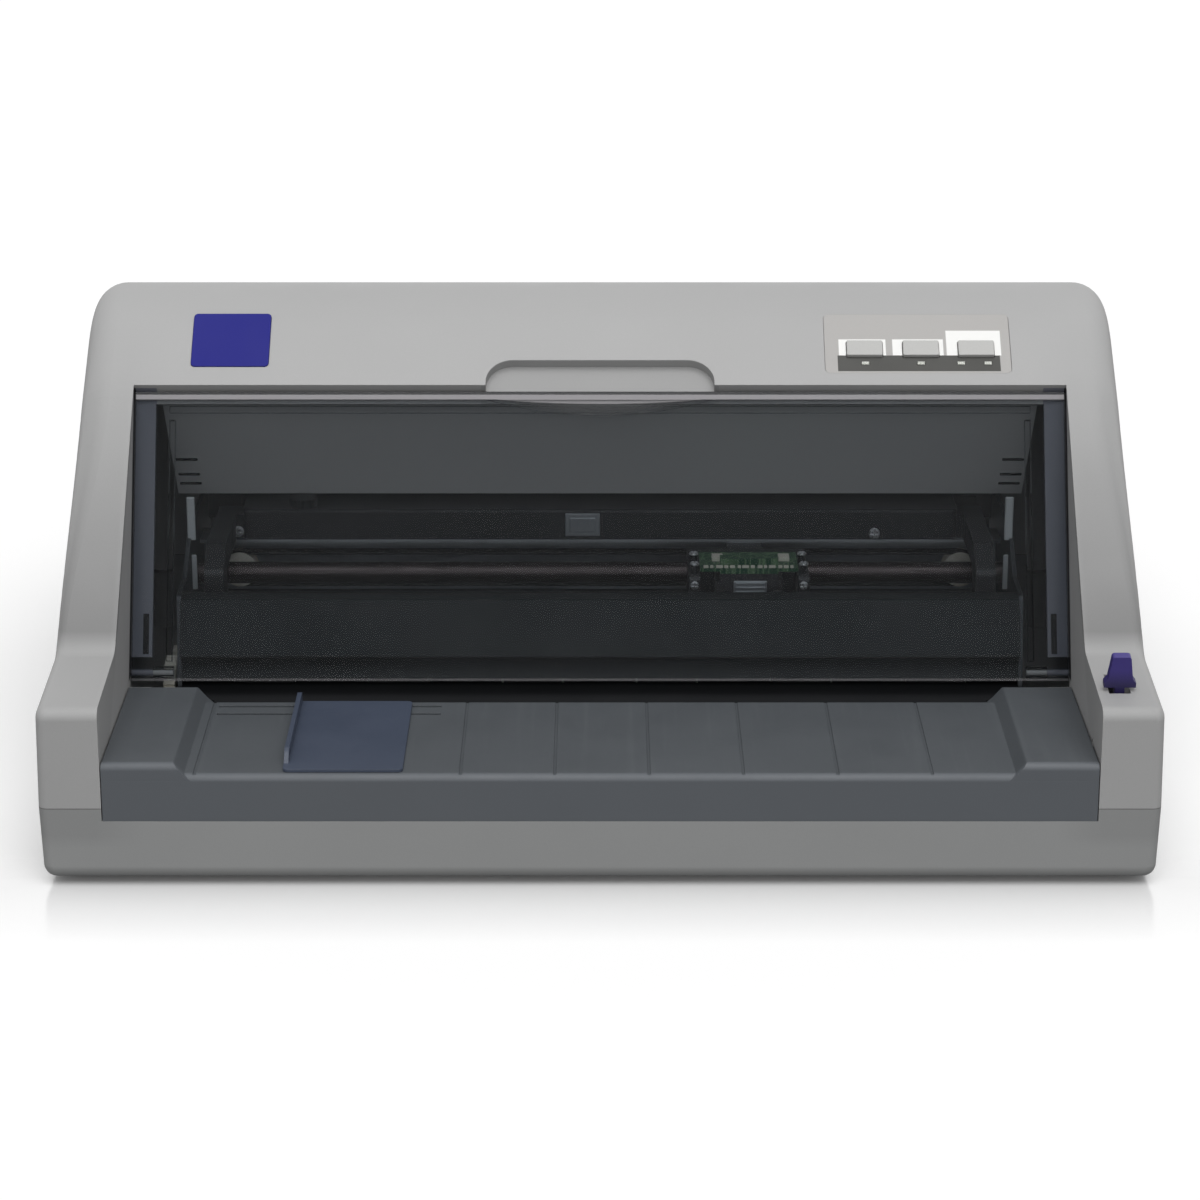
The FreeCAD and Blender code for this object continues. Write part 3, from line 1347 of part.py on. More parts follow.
# Carriage and what drives it
carriage_x = 67.0
carriage_half = 27.0
guide_shaft_u = 178.0
guide_shaft_z = 80.5
guide_shaft_radius = 5.0
carriage_front_u = 160.0
carriage_rear_u = 198.0
carriage_low_z = 71.0
carriage_top_z = 88.0
carriage_slope = 6.0
arm_sheet = 5.0
arm_front_u = 140.0
arm_low_z = 66.0
arm_top_z = 91.0
arm_post_radius = 1.6
arm_post_height = 4.0
rail_gap = 0.2
head_half = 15.0
head_front_u = 142.0
head_rear_u = 159.5
head_low_z = 60.0
head_top_z = 88.5
head_fin_pitch = 3.2
head_fin_gap = 1.5
head_fin_depth = 4.0
nose_half = 8.0
nose_low_z = 51.6
nose_tip = 3.0
mask_low_z = 50.7
mask_sheet = 0.4
mask_half = 24.0
mask_hole_half = 6.0
head_board_z = 92.6
head_board_sheet = 1.6
head_board_margin = 5.0
head_board_rear_u = 166.0
plug_half = 13.0
plug_depth = 6.0
plug_height = 3.5

belt_z = 74.0
belt_front_u = 203.0
belt_width = 6.0
belt_sheet = 1.2
belt_round_share = 0.999
pulley_radius = 7.0
pulley_end_gap = 18.0
pulley_teeth = 20
pulley_tooth_depth = 0.6
pulley_flange = 0.8
clamp_half = 8.0
clamp_gap = 0.3
clamp_sheet = 2.4
rear_frame_u = 216.0
rear_frame_sheet = 1.5
rear_frame_low_z = 60.0
rear_frame_rail_z = 88.0
rear_frame_rail_front_u = 199.0
rear_frame_hole = 8.0
carriage_motor_radius = 13.0
carriage_motor_length = 26.0
motor_cap_share = 0.8
pulley_shaft_radius = 1.5

# Ribbon cartridge
cartridge_end_gap = 20.0
cartridge_front_u = 200.0
cartridge_rear_u = 238.0
cartridge_top_z = 103.8
cartridge_round = 4.0
cartridge_arm_gap = 8.0
cartridge_arm_width = 9.0
cartridge_arm_low_z = 54.5
cartridge_arm_front_u = 143.0
cartridge_arm_back_u = 158.0
cartridge_arm_lift = 92.0
knob_inset = 28.0
knob_u = 207.5
knob_radius = 6.5
knob_height = 4.0
knob_flutes = 12
knob_post_radius = 2.5

# Parts on the boards, from each board's left front corner: left, right, front, back and height,
# and for the round ones x, u, radius and height
supply_core = (72.0, 116.0, 32.0, 72.0, 18.0)
supply_sink = (34.0, 72.0, 92.0, 102.0, 14.0)
supply_cans = ((34.0, 28.0, 9.0, 17.0), (144.0, 42.0, 6.0, 15.0), (144.0, 62.0, 6.0, 15.0))
main_chips = ((32.0, 60.0, 26.0, 54.0, 2.4), (82.0, 102.0, 22.0, 34.0, 2.0),
              (82.0, 102.0, 46.0, 58.0, 2.0), (124.0, 134.0, 28.0, 64.0, 14.0))
main_cans = ((20.0, 96.0, 5.0, 12.0), (152.0, 96.0, 5.0, 12.0), (152.0, 82.0, 5.0, 12.0))

pulley_x = frame_face - pulley_end_gap
cartridge_half = frame_face - cartridge_end_gap
cartridge_arm_x = frame_face - cartridge_arm_gap
knob_x = knob_inset - cartridge_half
hood_foot_z = cartridge_top_z + hood_foot_gap


def carriage_body():
    x0, x1 = carriage_x - carriage_half, carriage_x + carriage_half
    corners = [(carriage_front_u, carriage_low_z, 0), (carriage_rear_u - carriage_slope, carriage_low_z, 0),
               (carriage_rear_u, carriage_low_z + carriage_slope, 0), (carriage_rear_u, carriage_top_z -
               carriage_slope, 0), (carriage_rear_u - carriage_slope, carriage_top_z, 0),
               (carriage_front_u, carriage_top_z, 0)]
    block = prism_x(corners, x0, x1)
    arms = []
    for side in (-1, 1):
        outer = carriage_x + side * carriage_half
        inner = carriage_x + side * (carriage_half - arm_sheet)
        arm = prism_x([(arm_front_u, arm_low_z, 0), (carriage_front_u + arm_sheet, carriage_low_z, 0),
                       (carriage_front_u + arm_sheet, arm_top_z, arm_sheet / 2),
                       (arm_front_u, arm_top_z, arm_sheet / 2)], min(inner, outer), max(inner, outer))
        arms.append(arm)
        middle = (inner + outer) / 2
        for u in (arm_front_u + arm_sheet, carriage_front_u):
            arms.append(rod_z(arm_post_radius, arm_top_z - arm_post_height, arm_top_z + arm_post_height,
                              middle, u))
    run_z = belt_z + pulley_radius + paper_gap
    finger_u0 = carriage_rear_u - carriage_slope
    finger_u1 = belt_front_u + belt_width + clamp_gap
    low_finger = box(carriage_x - clamp_half, carriage_x + clamp_half, finger_u0, finger_u1,
                     run_z - clamp_gap - clamp_sheet, run_z - clamp_gap)
    high_finger = box(carriage_x - clamp_half, carriage_x + clamp_half, finger_u0,
                      finger_u1 + clamp_sheet, run_z + belt_sheet + clamp_gap,
                      rear_frame_rail_z - rail_gap)
    tie = box(carriage_x - clamp_half, carriage_x + clamp_half, finger_u1, finger_u1 + clamp_sheet,
              run_z - clamp_gap - clamp_sheet, rear_frame_rail_z - rail_gap)
    bore = rod_x(guide_shaft_radius + slide_gap, x0 - overrun, x1 + overrun, guide_shaft_u, guide_shaft_z)
    return cut(fused(block, arms, low_finger, high_finger, tie), bore)


def print_head():
    x0, x1 = carriage_x - head_half, carriage_x + head_half
    block = box(x0, x1, head_front_u, head_rear_u, head_low_z, head_top_z)
    fins = []
    count = int((head_top_z - head_low_z) / head_fin_pitch) - 1
    for number in range(count):
        z = head_low_z + head_fin_pitch * (number + 1)
        fins.append(box(x0 - overrun, x0 + head_fin_depth, head_front_u - overrun, head_rear_u + overrun, z,
                        z + head_fin_gap))
        fins.append(box(x1 - head_fin_depth, x1 + overrun, head_front_u - overrun, head_rear_u + overrun, z,
                        z + head_fin_gap))
    nose = prism_x([(platen_u - nose_half, head_low_z, 0), (platen_u - nose_tip, nose_low_z, 0),
                    (platen_u + nose_tip, nose_low_z, 0), (platen_u + nose_half, head_low_z, 0)],
                   carriage_x - nose_half, carriage_x + nose_half)
    seat = box(x0 + head_fin_depth, x1 - head_fin_depth, head_rear_u, carriage_front_u, carriage_low_z,
               carriage_top_z)
    return fused(cut(block, fins), nose, seat)


def ribbon_mask():
    x0, x1 = carriage_x - mask_half, carriage_x + mask_half
    plate = box(x0, x1, arm_front_u - mask_sheet, carriage_front_u - mask_sheet,
                mask_low_z, mask_low_z + mask_sheet)
    upstand = box(x0, x1, arm_front_u - mask_sheet, arm_front_u, mask_low_z, arm_low_z + arm_sheet)
    hole = box(carriage_x - mask_hole_half, carriage_x + mask_hole_half, platen_u - nose_tip,
               platen_u + nose_tip, 0.0, mask_low_z + arm_sheet)
    return cut(fused(plate, upstand), hole)


def head_board():
    half = carriage_half - head_board_margin
    board = box(carriage_x - half, carriage_x + half, head_front_u, head_board_rear_u, head_board_z,
                head_board_z + head_board_sheet)
    plug = box(carriage_x - plug_half, carriage_x + plug_half, head_front_u + plug_depth / 2,
               head_front_u + plug_depth * 3 / 2, head_board_z + head_board_sheet / 2,
               head_board_z + head_board_sheet + plug_height)
    legs = box(carriage_x - plug_half, carriage_x + plug_half, head_front_u, head_front_u + plug_depth / 2,
               head_top_z, head_board_z + head_board_sheet / 2)
    return fused(board, plug, legs)


def guide_shaft():
    return rod_x(guide_shaft_radius, -frame_face, frame_face, guide_shaft_u, guide_shaft_z)


def belt_loop(radius, u0, u1):
    reach = pulley_x + radius
    corners = rectangle(-reach, reach, belt_z - radius, belt_z + radius, radius * belt_round_share)
    return prism_y(corners, u0, u1)


def timing_belt():
    inner = pulley_radius + paper_gap
    return cut(belt_loop(inner + belt_sheet, belt_front_u, belt_front_u + belt_width),
               belt_loop(inner, belt_front_u - overrun, belt_front_u + belt_width + overrun))


def pulley(x, bore):
    points = []
    pitch_angle = 2 * math.pi / pulley_teeth
    for number in range(pulley_teeth):
        for radius, share in ((pulley_radius, -root_share), (pulley_radius, root_share),
                              (pulley_radius - pulley_tooth_depth, root_share + tip_share / 2),
                              (pulley_radius - pulley_tooth_depth, 1 - root_share - tip_share / 2)):
            angle = (number + share) * pitch_angle
            points.append((x + radius * math.cos(angle), belt_z + radius * math.sin(angle), 0))
    wheel = prism_y(points, belt_front_u, belt_front_u + belt_width)
    flanges = []
    for u in (belt_front_u - pulley_flange - slide_gap, belt_front_u + belt_width + slide_gap):
        flanges.append(rod_y(pulley_radius + belt_sheet, u, u + pulley_flange, x, belt_z))
    hub = rod_y(pulley_radius - pulley_tooth_depth * 2, belt_front_u - pulley_flange,
                belt_front_u + belt_width + pulley_flange, x, belt_z)
    return cut(fused(wheel, flanges, hub), rod_y(bore, 0.0, depth, x, belt_z))


def rear_frame():
    wallplate = box(-frame_face, frame_face, rear_frame_u, rear_frame_u + rear_frame_sheet, rear_frame_low_z,
                    rear_frame_rail_z)
    rail = box(-frame_face, frame_face, rear_frame_rail_front_u, rear_frame_u + rear_frame_sheet,
               rear_frame_rail_z, rear_frame_rail_z + rear_frame_sheet)
    motor_hole = rod_y(rear_frame_hole / 2, 0.0, depth, -pulley_x, belt_z)
    pin_u = belt_front_u - pulley_flange * 2
    idler_pin = rod_y(pulley_shaft_radius, pin_u, rear_frame_u + rear_frame_sheet / 2, pulley_x, belt_z)
    return fused(cut(fused(wallplate, rail), motor_hole), idler_pin)


def carriage_motor():
    u0 = rear_frame_u + rear_frame_sheet
    can = rod_y(carriage_motor_radius, u0, u0 + carriage_motor_length, -pulley_x, belt_z)
    ring = rod_y(rear_frame_hole / 2 - slide_gap, u0 - rear_frame_sheet, u0, -pulley_x, belt_z)
    cap_u = u0 + carriage_motor_length
    cap = rod_y(carriage_motor_radius * motor_cap_share, cap_u, cap_u + rear_frame_sheet, -pulley_x, belt_z)
    return fused(can, ring, cap)


def drive_pulley():
    u0 = belt_front_u - pulley_flange * 2
    shaft = rod_y(pulley_shaft_radius, u0, rear_frame_u, -pulley_x, belt_z)
    return fused(pulley(-pulley_x, pulley_shaft_radius / 2), shaft)


def ribbon_cartridge():
    base_z = rear_frame_rail_z + rear_frame_sheet
    area = rectangle(-cartridge_half, cartridge_half, cartridge_front_u, cartridge_rear_u, cartridge_round)
    body = prism_z(area, base_z, cartridge_top_z)
    rim = [edge for edge in body.Edges if edge.BoundBox.ZMin > cartridge_top_z - wall / 10]
    body = body.makeFillet(wall / 2, rim)
    x0 = cartridge_arm_x - cartridge_arm_width
    root_u = cartridge_front_u + cartridge_round * 2
    arm = prism_x([(root_u, base_z, 0), (root_u, cartridge_top_z - wall, 0),
                   (cartridge_arm_back_u, cartridge_top_z - wall, cartridge_round),
                   (cartridge_arm_front_u, cartridge_arm_lift, cartridge_round),
                   (cartridge_arm_front_u, cartridge_arm_low_z, 0),
                   (cartridge_arm_back_u, cartridge_arm_low_z, 0),
                   (cartridge_arm_back_u, base_z, cartridge_round)], x0, cartridge_arm_x)
    shoulder = box(cartridge_half - cartridge_round * 2, cartridge_arm_x,
                   cartridge_front_u + cartridge_round / 2, cartridge_front_u + cartridge_round * 4,
                   base_z, cartridge_top_z - wall)
    post = rod_z(knob_post_radius, cartridge_top_z - wall, cartridge_top_z + knob_height * 3 / 4,
                 knob_x, knob_u)
    return fused(body, both_sides(arm), both_sides(shoulder), post)


def ribbon_knob():
    z0 = cartridge_top_z
    knob = rod_z(knob_radius, z0, z0 + knob_height, knob_x, knob_u)
    flutes = []
    for number in range(knob_flutes):
        angle = 2 * math.pi * number / knob_flutes
        x = knob_x + knob_radius * math.cos(angle)
        u = knob_u + knob_radius * math.sin(angle)
        flutes.append(rod_z(knob_radius / 8, z0 - overrun, z0 + knob_height + overrun, x, u))
    well = rod_z(knob_post_radius + slide_gap, z0 - overrun, z0 + knob_height * 3 / 4 + slide_gap * 2,
                 knob_x, knob_u)
    return cut(knob, flutes, well)


def loaded_board(area, blocks, cans):
    x0, x1, u0, u1 = area
    board = box(x0, x1, u0, u1, board_z, board_z + board_sheet)
    top_z = board_z + board_sheet / 2
    loads = []
    for left, right, near, far, tall in blocks:
        loads.append(box(x0 + left, x0 + right, u0 + near, u0 + far, top_z, top_z + board_sheet / 2 + tall))
    for x, u, radius, tall in cans:
        loads.append(rod_z(radius, top_z, top_z + board_sheet / 2 + tall, x0 + x, u0 + u))
    return fused(board, loads)


def build():
    save("lower_case", lower_case())
    save("upper_case", upper_case())
    save("printer_cover", printer_cover())
    save("rear_cover", rear_cover())
    save("case_screws", case_screws())
    save("rubber_feet", rubber_feet())
    save("paper_table", paper_table())
    save("edge_guide", edge_guide())
    save("release_lever", release_lever())
    save("panel_plate", panel_plate())
    for name, centre in zip(("button_left", "button_middle", "button_right"), button_centres):
        save(name, button(centre))
    save("panel_lights", panel_lights())
    save("panel_board", panel_board())
    save("badge_plate", badge_plate())
    save("ac_inlet", ac_inlet())
    save("parallel_connector", board_socket(parallel_x, parallel_width, parallel_height))
    save("usb_connector", board_socket(usb_x, usb_width, usb_height))
    save("power_switch_body", power_switch_body())
    save("power_rocker", power_rocker())
    save("main_board", loaded_board(main_board_area, main_chips, main_cans))
    save("power_supply", loaded_board(supply_area, (supply_core, supply_sink), supply_cans))
    save("side_frame_left", side_frame(-1))
    save("side_frame_right", side_frame(1))
    save("rear_frame", rear_frame())
    save("roller_bushes", roller_bushes())
    save("lower_paper_guide", lower_paper_guide())
    save("upper_paper_guide", upper_paper_guide())
    save("front_paper_guide", front_paper_guide())
    save("platen_bar", platen_bar())
    save("front_feed_roller", feed_roller(front_roller_u, front_phase))
    save("rear_feed_roller", feed_roller(rear_roller_u, rear_phase))
    save("front_pinch_rollers", pinch_rollers(front_roller_u))
    save("rear_pinch_rollers", pinch_rollers(rear_roller_u))
    save("feed_motor", feed_motor())
    pinion_bore = motor_shaft_radius + slide_gap / 2
    save("motor_pinion", gear(pinion_teeth, pinion_phase, idler_u, feed_motor_z, pinion_bore))
    stub_bore = stub_radius + slide_gap / 2
    save("idler_gear", gear(idler_gear_teeth, idler_phase, idler_u, roller_z, stub_bore))
    for name, phase, u in (("transfer_gear_front", transfer_front_phase, transfer_front_u),
                           ("transfer_gear_middle", transfer_middle_phase, transfer_middle_u),
                           ("transfer_gear_rear", transfer_rear_phase, transfer_rear_u)):
        save(name, gear(transfer_gear_teeth, phase, u, roller_z, stub_bore))
    save("tractor_drive_shaft", tractor_drive_shaft())
    save("tractor_guide_shaft", tractor_guide_shaft())
    save("tractor_right", tractor())
    save("tractor_left", mirrored(tractor()))
    save("tractor_lid_right", tractor_lid())
    save("tractor_lid_left", mirrored(tractor_lid()))
    save("sprocket_right", sprocket())
    save("sprocket_left", mirrored(sprocket()))
    save("paper_support", paper_support())
    save("guide_shaft", guide_shaft())
    save("carriage_body", carriage_body())
    save("print_head", print_head(), head_board())
    save("ribbon_mask", ribbon_mask())
    save("timing_belt", timing_belt())
    save("drive_pulley", drive_pulley())
    save("idler_pulley", pulley(pulley_x, pulley_shaft_radius + slide_gap / 2))
    save("carriage_motor", carriage_motor())
    save("ribbon_cartridge", ribbon_cartridge())
    save("ribbon_knob", ribbon_knob())


build()
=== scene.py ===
import bpy
import bmesh
import math
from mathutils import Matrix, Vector


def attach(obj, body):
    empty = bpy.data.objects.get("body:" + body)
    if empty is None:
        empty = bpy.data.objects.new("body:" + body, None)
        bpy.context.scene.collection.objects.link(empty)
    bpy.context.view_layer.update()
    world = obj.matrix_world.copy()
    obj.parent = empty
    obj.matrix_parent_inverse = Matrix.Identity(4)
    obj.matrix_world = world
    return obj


# Dot matrix printer: finishes, small fittings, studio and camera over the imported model.
# Metres. X points right, Y to the back, Z up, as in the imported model.

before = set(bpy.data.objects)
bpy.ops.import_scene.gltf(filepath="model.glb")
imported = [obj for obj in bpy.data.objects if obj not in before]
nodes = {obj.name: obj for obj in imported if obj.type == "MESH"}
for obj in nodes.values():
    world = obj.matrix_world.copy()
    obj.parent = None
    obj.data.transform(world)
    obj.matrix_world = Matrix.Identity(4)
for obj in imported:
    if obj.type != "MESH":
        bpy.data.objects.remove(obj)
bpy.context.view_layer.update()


# Colours and node helpers

def srgb(red, green, blue):
    """A colour read from 0 to 255, as linear light."""
    def linear(value):
        value /= 255
        return value / 12.92 if value <= 0.04045 else ((value + 0.055) / 1.055) ** 2.4
    return (linear(red), linear(green), linear(blue), 1.0)


def scaled(colour, factor):
    return tuple(min(channel * factor, 1.0) for channel in colour[:3]) + (1.0,)


class Finish:
    """A material in the making. Texture places are metres in the model's own frame."""

    def __init__(self, name, colour, roughness=0.5, metallic=0.0, level=0.5):
        self.material = bpy.data.materials.new(name)
        self.material.use_nodes = True
        self.tree = self.material.node_tree
        self.shader = self.tree.nodes["Principled BSDF"]
        self.shader.inputs["Base Color"].default_value = colour
        self.shader.inputs["Roughness"].default_value = roughness
        self.shader.inputs["Metallic"].default_value = metallic
        self.shader.inputs["Specular IOR Level"].default_value = level
        self.place = self.tree.nodes.new("ShaderNodeTexCoord").outputs["Object"]

    def put(self, socket, value):
        """Feeds a socket from another node, or sets its number or colour."""
        if isinstance(value, bpy.types.NodeSocket):
            self.tree.links.new(value, socket)
        else:
            socket.default_value = value

    def set(self, name, value):
        self.put(self.shader.inputs[name], value)

    def colour_so_far(self):
        return self.shader.inputs["Base Color"].links[0].from_socket

    def product(self, *values):
        result = values[0]
        for value in values[1:]:
            result = self.maths("MULTIPLY", result, value)
        return result

    def maths(self, operation, first, second=0.0, third=0.0):
        node = self.tree.nodes.new("ShaderNodeMath")
        node.operation = operation
        for socket, value in zip(node.inputs, (first, second, third)):
            self.put(socket, value)
        return node.outputs[0]

    def spread(self, value, low_in, high_in, low_out, high_out):
        """Maps a value from one range to another, held at both ends."""
        node = self.tree.nodes.new("ShaderNodeMapRange")
        for socket, number in zip(node.inputs, (value, low_in, high_in, low_out, high_out)):
            self.put(socket, number)
        return node.outputs[0]

    def stretched(self, stretch):
        node = self.tree.nodes.new("ShaderNodeMapping")
        self.put(node.inputs["Vector"], self.place)
        node.inputs["Scale"].default_value = stretch
        return node.outputs[0]

    def noise(self, grain, detail=2.0, stretch=None):
        """Noise from 0 to 1 whose features are about one grain wide, in metres."""
        node = self.tree.nodes.new("ShaderNodeTexNoise")
        self.put(node.inputs["Vector"], self.stretched(stretch) if stretch else self.place)
        node.inputs["Scale"].default_value = 1 / grain
        node.inputs["Detail"].default_value = detail
        return node.outputs["Fac"]

    def cells(self, grain, feature="F1", stretch=None):
        node = self.tree.nodes.new("ShaderNodeTexVoronoi")
        node.feature = feature
        self.put(node.inputs["Vector"], self.stretched(stretch) if stretch else self.place)
        node.inputs["Scale"].default_value = 1 / grain
        return node.outputs["Distance"]

    def blend(self, share, first, second, kind="MIX"):
        node = self.tree.nodes.new("ShaderNodeMix")
        node.data_type = "RGBA"
        node.blend_type = kind
        self.put(node.inputs["Factor"], share)
        self.put(node.inputs["A"], first)
        self.put(node.inputs["B"], second)
        return node.outputs["Result"]

    def axis(self, name):
        """One coordinate of the place, in metres."""
        node = self.tree.nodes.new("ShaderNodeSeparateXYZ")
        self.put(node.inputs[0], self.place)
        return node.outputs[name]

    def within(self, value, low_edge, high_edge, soft=0.0001):
        """1 between two edges and 0 outside them."""
        rise = self.spread(value, low_edge - soft, low_edge + soft, 0.0, 1.0)
        fall = self.spread(value, high_edge - soft, high_edge + soft, 1.0, 0.0)
        return self.maths("MULTIPLY", rise, fall)

    def bump(self, height, distance):
        """Adds relief over any that is there. distance is the full height, in metres."""
        node = self.tree.nodes.new("ShaderNodeBump")
        node.inputs["Strength"].default_value = 1.0
        node.inputs["Distance"].default_value = distance
        self.put(node.inputs["Height"], height)
        links = self.shader.inputs["Normal"].links
        if links:
            self.put(node.inputs["Normal"], links[0].from_socket)
        self.put(self.shader.inputs["Normal"], node.outputs[0])

    def mix_out(self, share, first, second):
        """Sends a mix of two shaders to the surface."""
        node = self.tree.nodes.new("ShaderNodeMixShader")
        for socket, value in zip(node.inputs, (share, first, second)):
            self.put(socket, value)
        self.put(self.tree.nodes["Material Output"].inputs["Surface"], node.outputs[0])

    def soft_edges(self, radius):
        """Shades hard edges as small roundings of this radius."""
        node = self.tree.nodes.new("ShaderNodeBevel")
        node.samples = 4
        node.inputs["Radius"].default_value = radius
        self.put(self.shader.inputs["Normal"], node.outputs[0])


# Places on the model, in metres. A foot is the depth and height where a sloping plane begins, and its slope
# is from level. The fields on the key panel give left, right, low and high, the last two up the band.

black = (0.0, 0.0, 0.0, 1.0)
white = (1.0, 1.0, 1.0, 1.0)
window_foot = (-0.0760, 0.0530)
window_slope = math.radians(64.4413)
band_foot = (-0.02295, 0.1730)
band_slope = math.radians(38.5)
cheek_foot = (-0.1150, 0.0830)
cheek_slope = math.radians(44.356)
hood_foot = (-0.0170, 0.1780)
hood_slope = math.radians(-50.75)
parting_z = 0.0350
ledge_z = 0.0835
table_front_y = -0.1725
board_top_z = 0.0120
head_board_z = 0.0916
head_caps_z = 0.0941
carriage_x = 0.067
feed_z = 0.0411
pinch_z = 0.0563
front_feed_y = -0.050
rear_feed_y = 0.005
tractor_shaft_y = 0.124
gear_edge = -0.1885
no_gear = -0.3
panel_labels = (
    (0.1070, 0.1281, 0.0208, 0.0298),
    (0.1311, 0.1539, 0.0208, 0.0298),
    (0.1553, 0.1797, 0.0208, 0.0347),
)
panel_strip = (0.1063, 0.1790, 0.0120, 0.0208)


# Finishes

def moulded(name, colour, grain=0.00055, relief=0.00004, roughness=0.55, mottle=0.035, level=0.4):
    """Textured moulded plastic: fine spark grain, slight mottling and a slow change of gloss."""
    made = Finish(name, colour, level=level)
    cloud = made.noise(0.06, detail=3.0)
    speck = made.noise(grain * 1.4, detail=1.0)
    shade = made.spread(made.maths("ADD", cloud, made.maths("MULTIPLY", speck, 0.6)), 0.5, 1.1,
                        1 - mottle, 1 + mottle)
    made.set("Base Color", made.blend(1.0, colour, shade, "MULTIPLY"))
    made.set("Roughness", made.spread(made.noise(0.03, detail=4.0), 0.3, 0.7,
                                      roughness - 0.05, roughness + 0.07))
    made.soft_edges(0.0004)
    made.bump(made.noise(grain, detail=2.0), relief)
    return made


def along_slope(made, foot, angle):
    """Distance up a sloping plane and off it, in metres, from the plane's foot."""
    rise, fall = math.sin(angle), math.cos(angle)
    across = made.maths("SUBTRACT", made.axis("Y"), foot[0])
    up = made.maths("SUBTRACT", made.axis("Z"), foot[1])
    along = made.maths("ADD", made.maths("MULTIPLY", across, fall), made.maths("MULTIPLY", up, rise))
    off = made.maths("SUBTRACT", made.maths("MULTIPLY", up, fall), made.maths("MULTIPLY", across, rise))
    return along, off


def case_finish(name, tone):
    """Light grey housing with the parting line, and painted shade down the cheeks, on the ledges and in the
    scoop.
    Behind the smoked cover the hood is painted paler as painted light, and the rim and the gap strip round
    the opening are painted darker as painted shade."""
    made = moulded(name, tone, mottle=0.02)
    colour = made.colour_so_far()
    x, y, z = (made.axis(name) for name in "XYZ")
    side = made.maths("ABSOLUTE", x)
    # Painted shade: the cheeks darken towards their foot, less on the ledge, and only out at the sides.
    along, off = along_slope(made, cheek_foot, cheek_slope)
    on_cheek = made.spread(off, -0.0050, -0.0010, 0.0, 1.0)
    low_shade = made.spread(along, 0.0, 0.1400, 0.52, 0.05)
    above_ledge = made.spread(z, ledge_z, ledge_z + 0.0065, 0.20, 1.0)
    at_side = made.spread(side, 0.1900, 0.2100, 0.0, 1.0)
    colour = made.blend(made.product(on_cheek, low_shade, above_ledge, at_side), colour, black)
    # Painted shade in the finger scoop of the band above the cover.
    up_band, off_band = along_slope(made, band_foot, band_slope)
    scoop = made.product(made.within(x, -0.0530, 0.0530), made.within(up_band, -0.0040, 0.0190),
                         made.within(off_band, -0.0084, -0.0006))
    colour = made.blend(made.product(scoop, 0.17), colour, black)
    off = along_slope(made, window_foot, window_slope)[1]
    # Painted light: the hood behind the cover is painted near white, paler than the housing, as it gets
    # little light.
    hood = made.product(made.within(x, -0.1985, 0.1985), made.within(z, 0.1050, 0.1775),
                        made.within(y, -0.0900, 0.0440), made.spread(off_band, -0.0086, -0.0084, 1.0, 0.0),
                        made.spread(off, -0.0064, -0.0062, 1.0, 0.0))
    colour = made.blend(hood, colour, srgb(250, 250, 250))
    behind_cover = made.within(z, 0.0560, 0.1740)
    # Painted shade on the rim round the opening behind the cover.
    rim = made.product(made.within(side, 0.1976, 0.2078), made.within(off, -0.0150, 0.0), behind_cover)
    colour = made.blend(rim, colour, srgb(122, 124, 134))
    # Painted shade: a dark strip on the side wall in the gap beside the cover.
    gap_shade = made.product(made.within(side, 0.2070, 0.2080), made.within(off, -0.0040, 0.0022), behind_cover)
    colour = made.blend(gap_shade, colour, srgb(38, 38, 40))
    parting = made.within(z, parting_z - 0.0002, parting_z + 0.0002, 0.00012)
    made.set("Base Color", made.blend(made.product(parting, 0.7), colour, srgb(70, 69, 68)))
    return made.material


def table_finish():
    """Dark grey table with lighter streaks along the paper's way, wear from the paper with painted sheen,
    and a front face painted lighter as painted light.
    """
    made = moulded("table_grey", srgb(76, 80, 84), grain=0.0005, mottle=0.03, roughness=0.5)
    # Lighter streaks along the paper's way: wear from the paper and painted sheen.
    rub_and_sheen = made.noise(0.004, detail=3.0, stretch=(1.0, 0.04, 0.3))
    colour = made.colour_so_far()
    colour = made.blend(made.spread(rub_and_sheen, 0.55, 0.8, 0.0, 0.16), colour, srgb(108, 112, 115))
    # Painted light: the skirt's front face, ahead of the table's front edge, is painted lighter.
    front = made.spread(made.axis("Y"), table_front_y - 0.0010, table_front_y + 0.0010, 1.0, 0.0)
    made.set("Base Color", made.blend(front, colour, srgb(89, 93, 98)))
    return made.material


